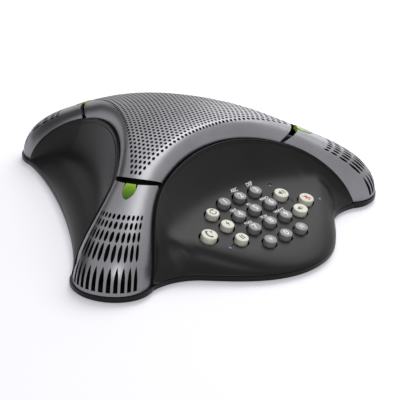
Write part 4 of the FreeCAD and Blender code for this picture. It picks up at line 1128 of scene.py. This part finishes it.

# Printed signs, and the painted shade of two grooves

def glyph_mesh(text, height):
    """Filled letters as 2-D points and faces, centred, with capitals of the given height."""
    curve = bpy.data.curves.new("glyphs", "FONT")
    curve.body = text
    curve.size = 1.0
    curve.resolution_u = 4
    curve.offset = LETTER_BOLDNESS
    carrier = add_object("glyphs", curve)
    bpy.context.view_layer.update()
    mesh = bpy.data.meshes.new_from_object(carrier.evaluated_get(bpy.context.evaluated_depsgraph_get()))
    flat = np.array([(v.co.x, v.co.y) for v in mesh.vertices])
    faces = [tuple(p.vertices) for p in mesh.polygons]
    bpy.data.objects.remove(carrier)
    bpy.data.curves.remove(curve)
    bpy.data.meshes.remove(mesh)
    low, high = flat.min(axis=0), flat.max(axis=0)
    return (flat - (low + high) / 2) * (height / (high[1] - low[1])), faces


def band(points, width):
    """Faces of a stroke of the given width along a 2-D polyline."""
    p = np.asarray(points, float)
    ahead = unit(np.gradient(p, axis=0))
    side = np.stack([-ahead[:, 1], ahead[:, 0]], axis=-1) * (width / 2)
    flat = np.concatenate([p + side, p - side])
    count = len(p)
    return flat, [(i, i + 1, i + 1 + count, i + count) for i in range(count - 1)]


def arc(x, y, radius, start, stop, count=14):
    a = np.radians(np.linspace(start, stop, count))
    return np.stack([x + radius * np.cos(a), y + radius * np.sin(a)], axis=-1)


def patch(points):
    p = [Vector((x, y, 0.0)) for x, y in points]
    return np.array(points, float), [tuple(f) for f in tessellate_polygon([p])]


def speaker_sign(waves):
    pieces = [patch([(-2.0, -0.7), (-1.2, -0.7), (0.0, -1.6), (0.0, 1.6), (-1.2, 0.7), (-2.0, 0.7)])]
    for i in range(waves):
        pieces.append(band(arc(-0.2, 0.0, 1.2 + 0.9 * i, -45, 45), 0.42))
    return join(pieces)


def signs():
    arrow = [band(arc(0, 0, 1.65, 60, 350, 22), 0.5), patch([(0.35, 0.75), (0.35, 2.35), (1.75, 1.35)])]
    bolt = [patch([(0.7, 2.1), (-1.2, -0.2), (-0.1, -0.2), (-0.7, -2.1), (1.2, 0.35), (0.15, 0.35)])]
    bars = [patch([(x, -1.6), (x + 0.65, -1.6), (x + 0.65, 1.6), (x, 1.6)]) for x in (-1.0, 0.35)]
    handset = [band(arc(1.6, 0, 3.1, 132, 228, 20), 0.9),
               patch([(-0.9, 1.3), (0.4, 1.9), (0.1, 3.0), (-1.2, 2.4)]),
               patch([(-0.9, -1.3), (-1.2, -2.4), (0.1, -3.0), (0.4, -1.9)])]
    for x, y in ((1.3, 1.5), (2.3, 1.2), (1.6, 0.5)):
        handset.append(patch(arc(x, y, 0.36, 0, 324, 10)))
    capsule = np.concatenate([arc(0, 0.9, 0.75, 0, 180, 9), arc(0, -0.1, 0.75, 180, 360, 9)])
    muted = [patch(capsule), band(arc(0, 0.1, 1.5, 200, 340), 0.36),
             band([(0, -1.4), (0, -2.2)], 0.4), band([(-1.0, -2.2), (1.0, -2.2)], 0.36),
             band([(-1.9, 1.9), (0, 0), (1.9, -1.9)], 0.45)]
    return {"key_redial": join(arrow), "key_flash": join(bolt), "key_hold": join(bars),
            "key_phone": join(handset), "key_volume_up": speaker_sign(2),
            "key_volume_down": speaker_sign(1), "key_mute": join(muted)}


def print_on_key(key, flat, faces, ink):
    column, row, _ = KEYS[key]
    points = on_pad(column, row, flat[:, 0], flat[:, 1], KEY_TOP + INK_LIFT)
    normals = np.tile(KEY_NORMAL, (len(points), 1))
    points, faces, corner = thicken(points, upward(points, faces, normals), normals, INK_DEPTH)
    return make_object(key + "_sign", points, faces, corner, ink, key + "_button")


def print_on_panel(name, column, row, flat, faces, ink, lift):
    """Sign or painted groove shade laid on the front panel, each corner dropped onto the panel's own mesh."""
    world = on_pad(column, row, flat[:, 0], flat[:, 1], 0.0)
    points, normals = [], []
    for x, y, _ in world:
        spot, normal, _, _ = FRONT_SKIN.ray_cast(Vector((x, y, SIGN_RAY_HEIGHT)), Vector((0.0, 0.0, -1.0)))
        points.append(spot + normal * lift)
        normals.append(normal)
    points, normals = np.array(points), np.array(normals)
    points, faces, corner = thicken(points, upward(points, faces, normals), normals, lift + PANEL_INK_SINK)
    return make_object(name, points, faces, corner, ink)


def build_signs():
    for digit in "1234567890":
        print_on_key("key_" + digit, *glyph_mesh(digit, DIGIT_HEIGHT), "ink_white")
    tips = [(1.6 * math.cos(a), 1.6 * math.sin(a)) for a in np.radians((90, 30, 150))]
    print_on_key("key_star", *join([band([(-x, -y), (0, 0), (x, y)], 0.55) for x, y in tips]), "ink_white")
    hash_lines = [band([(x - 0.35, -1.9), (x, 0), (x + 0.35, 1.9)], 0.45) for x in (-0.7, 0.7)]
    hash_lines += [band([(-1.7, y), (0, y), (1.7, y)], 0.45) for y in (-0.7, 0.7)]
    print_on_key("key_pound", *join(hash_lines), "ink_white")
    for key, (flat, faces) in signs().items():
        print_on_key(key, flat * SIGN_SCALE, faces, "ink_red" if key == "key_mute" else "ink_olive")
    for digit, text in LETTERS.items():
        column, row, _ = KEYS["key_" + digit]
        flat, faces = glyph_mesh(text, LETTER_HEIGHT)
        print_on_panel("key_" + digit + "_letters", column + LETTER_SHIFT[0], row + LETTER_SHIFT[1],
                       flat, faces, "ink_white", INK_LIFT)
    # Painted shade of each groove, as a flat near-black strip on the panel.
    for name, (start, stop) in GROOVE_SHADES.items():
        step = (np.array(stop) - np.array(start)) * KEY_PITCH
        line = np.linspace((0, 0), (step[0], -step[1]), 9)
        print_on_panel(name, *start, *band(line, GROOVE_WIDTH), "groove_black", INK_LIFT)


build_signs()

# Stage, light and camera

def seen_directly(tree):
    """Socket that is 1 for rays that show the background, also in metal and glass, and 0 for lighting."""
    path = add_node(tree, "LightPath", {})
    total = path.outputs["Is Camera Ray"]
    for kind in ("Is Glossy Ray", "Is Transmission Ray"):
        total = add_node(tree, "Math", {0: total, 1: path.outputs[kind]}, operation="MAXIMUM").outputs[0]
    return total


def flat_sheet(name, corners):
    mesh = bpy.data.meshes.new(name)
    mesh.from_pydata(corners, [], [(0, 1, 2, 3)])
    obj = add_object(name, mesh)
    return obj


def build_stage():
    size = FLOOR_HALF_WIDTH
    floor = flat_sheet("floor", [(x * size, y * size, 0) for x, y in ((-1, -1), (1, -1), (1, 1), (-1, 1))])
    material, tree, shader = new_material("floor_paper", (0.86, 0.86, 0.88), 0.9, specular=0.0)
    tint = ramp(tree, noise(tree, 3.0), (0.855, 0.855, 0.875), (0.865, 0.865, 0.885))
    tree.links.new(tint.outputs["Color"], shader.inputs["Base Color"])
    glow = add_node(tree, "Emission", {"Color": (0.93, 0.92, 1.0, 1.0),
                                       "Strength": between(tree, seen_directly(tree), 0.0, FLOOR_GLOW)})
    add = add_node(tree, "AddShader", {0: shader.outputs[0], 1: glow.outputs[0]})
    tree.links.new(add.outputs[0], tree.nodes["Material Output"].inputs["Surface"])
    floor.data.materials.append(material)


def build_card():
    """Dark studio card behind the phone on the left, which its metal and black plastic mirror."""
    middle = Vector((-0.50, 1.25, 0.0))
    along = Vector((0.93, 0.37, 0.0)) * CARD_HALF_WIDTH
    top = Vector((0.0, 0.0, CARD_HEIGHT))
    low = Vector((0.0, 0.0, 0.01))
    card = flat_sheet("dark_card", [middle - along + low, middle + along + low, middle + along + top,
                                    middle - along + top])
    card.visible_camera = False
    card.data.materials.append(LOOKS["card_black"])


def area_lamp(name, spot, size, power):
    lamp = bpy.data.lights.new(name, "AREA")
    lamp.size, lamp.energy = size, power
    obj = add_object(name, lamp)
    obj.location = spot
    obj.rotation_mode = "QUATERNION"
    obj.rotation_quaternion = (Vector(LIGHT_TARGET) - Vector(spot)).to_track_quat("-Z", "Y")


def build_light():
    world = bpy.data.worlds.new("studio")
    bpy.context.scene.world = world
    world.use_nodes = True
    tree = world.node_tree
    background = tree.nodes["Background"]
    background.inputs["Color"].default_value = (1.0, 1.0, 1.0, 1.0)
    tree.links.new(between(tree, seen_directly(tree), SKY_LIGHT, 1.0), background.inputs["Strength"])
    area_lamp("top_light", (0.57, 0.08, 1.00), 0.9, 8.0)
    area_lamp("back_light", (1.03, 0.48, 0.37), 0.6, 1.6)
    area_lamp("front_light", (-0.58, -0.76, 0.70), 0.32, 2.4)


def build_camera():
    data = bpy.data.cameras.new("photo_view")
    data.sensor_width = 36.0
    data.lens = CAMERA_LENS
    data.clip_start, data.clip_end = 0.05, 20.0
    camera = add_object("photo_view", data)
    turn = (Matrix.Rotation(CAMERA_AZIMUTH, 3, "Z") @ Matrix.Rotation(math.pi / 2 - CAMERA_HEIGHT, 3, "X")
            @ Matrix.Rotation(CAMERA_ROLL, 3, "Z"))
    camera.location = Vector(CAMERA_TARGET) + turn.col[2] * CAMERA_DISTANCE
    camera.rotation_mode = "QUATERNION"
    camera.rotation_quaternion = turn.to_quaternion()
    bpy.context.scene.camera = camera


build_stage()
build_card()
build_light()
build_camera()
bpy.context.scene.view_settings.view_transform = "Standard"
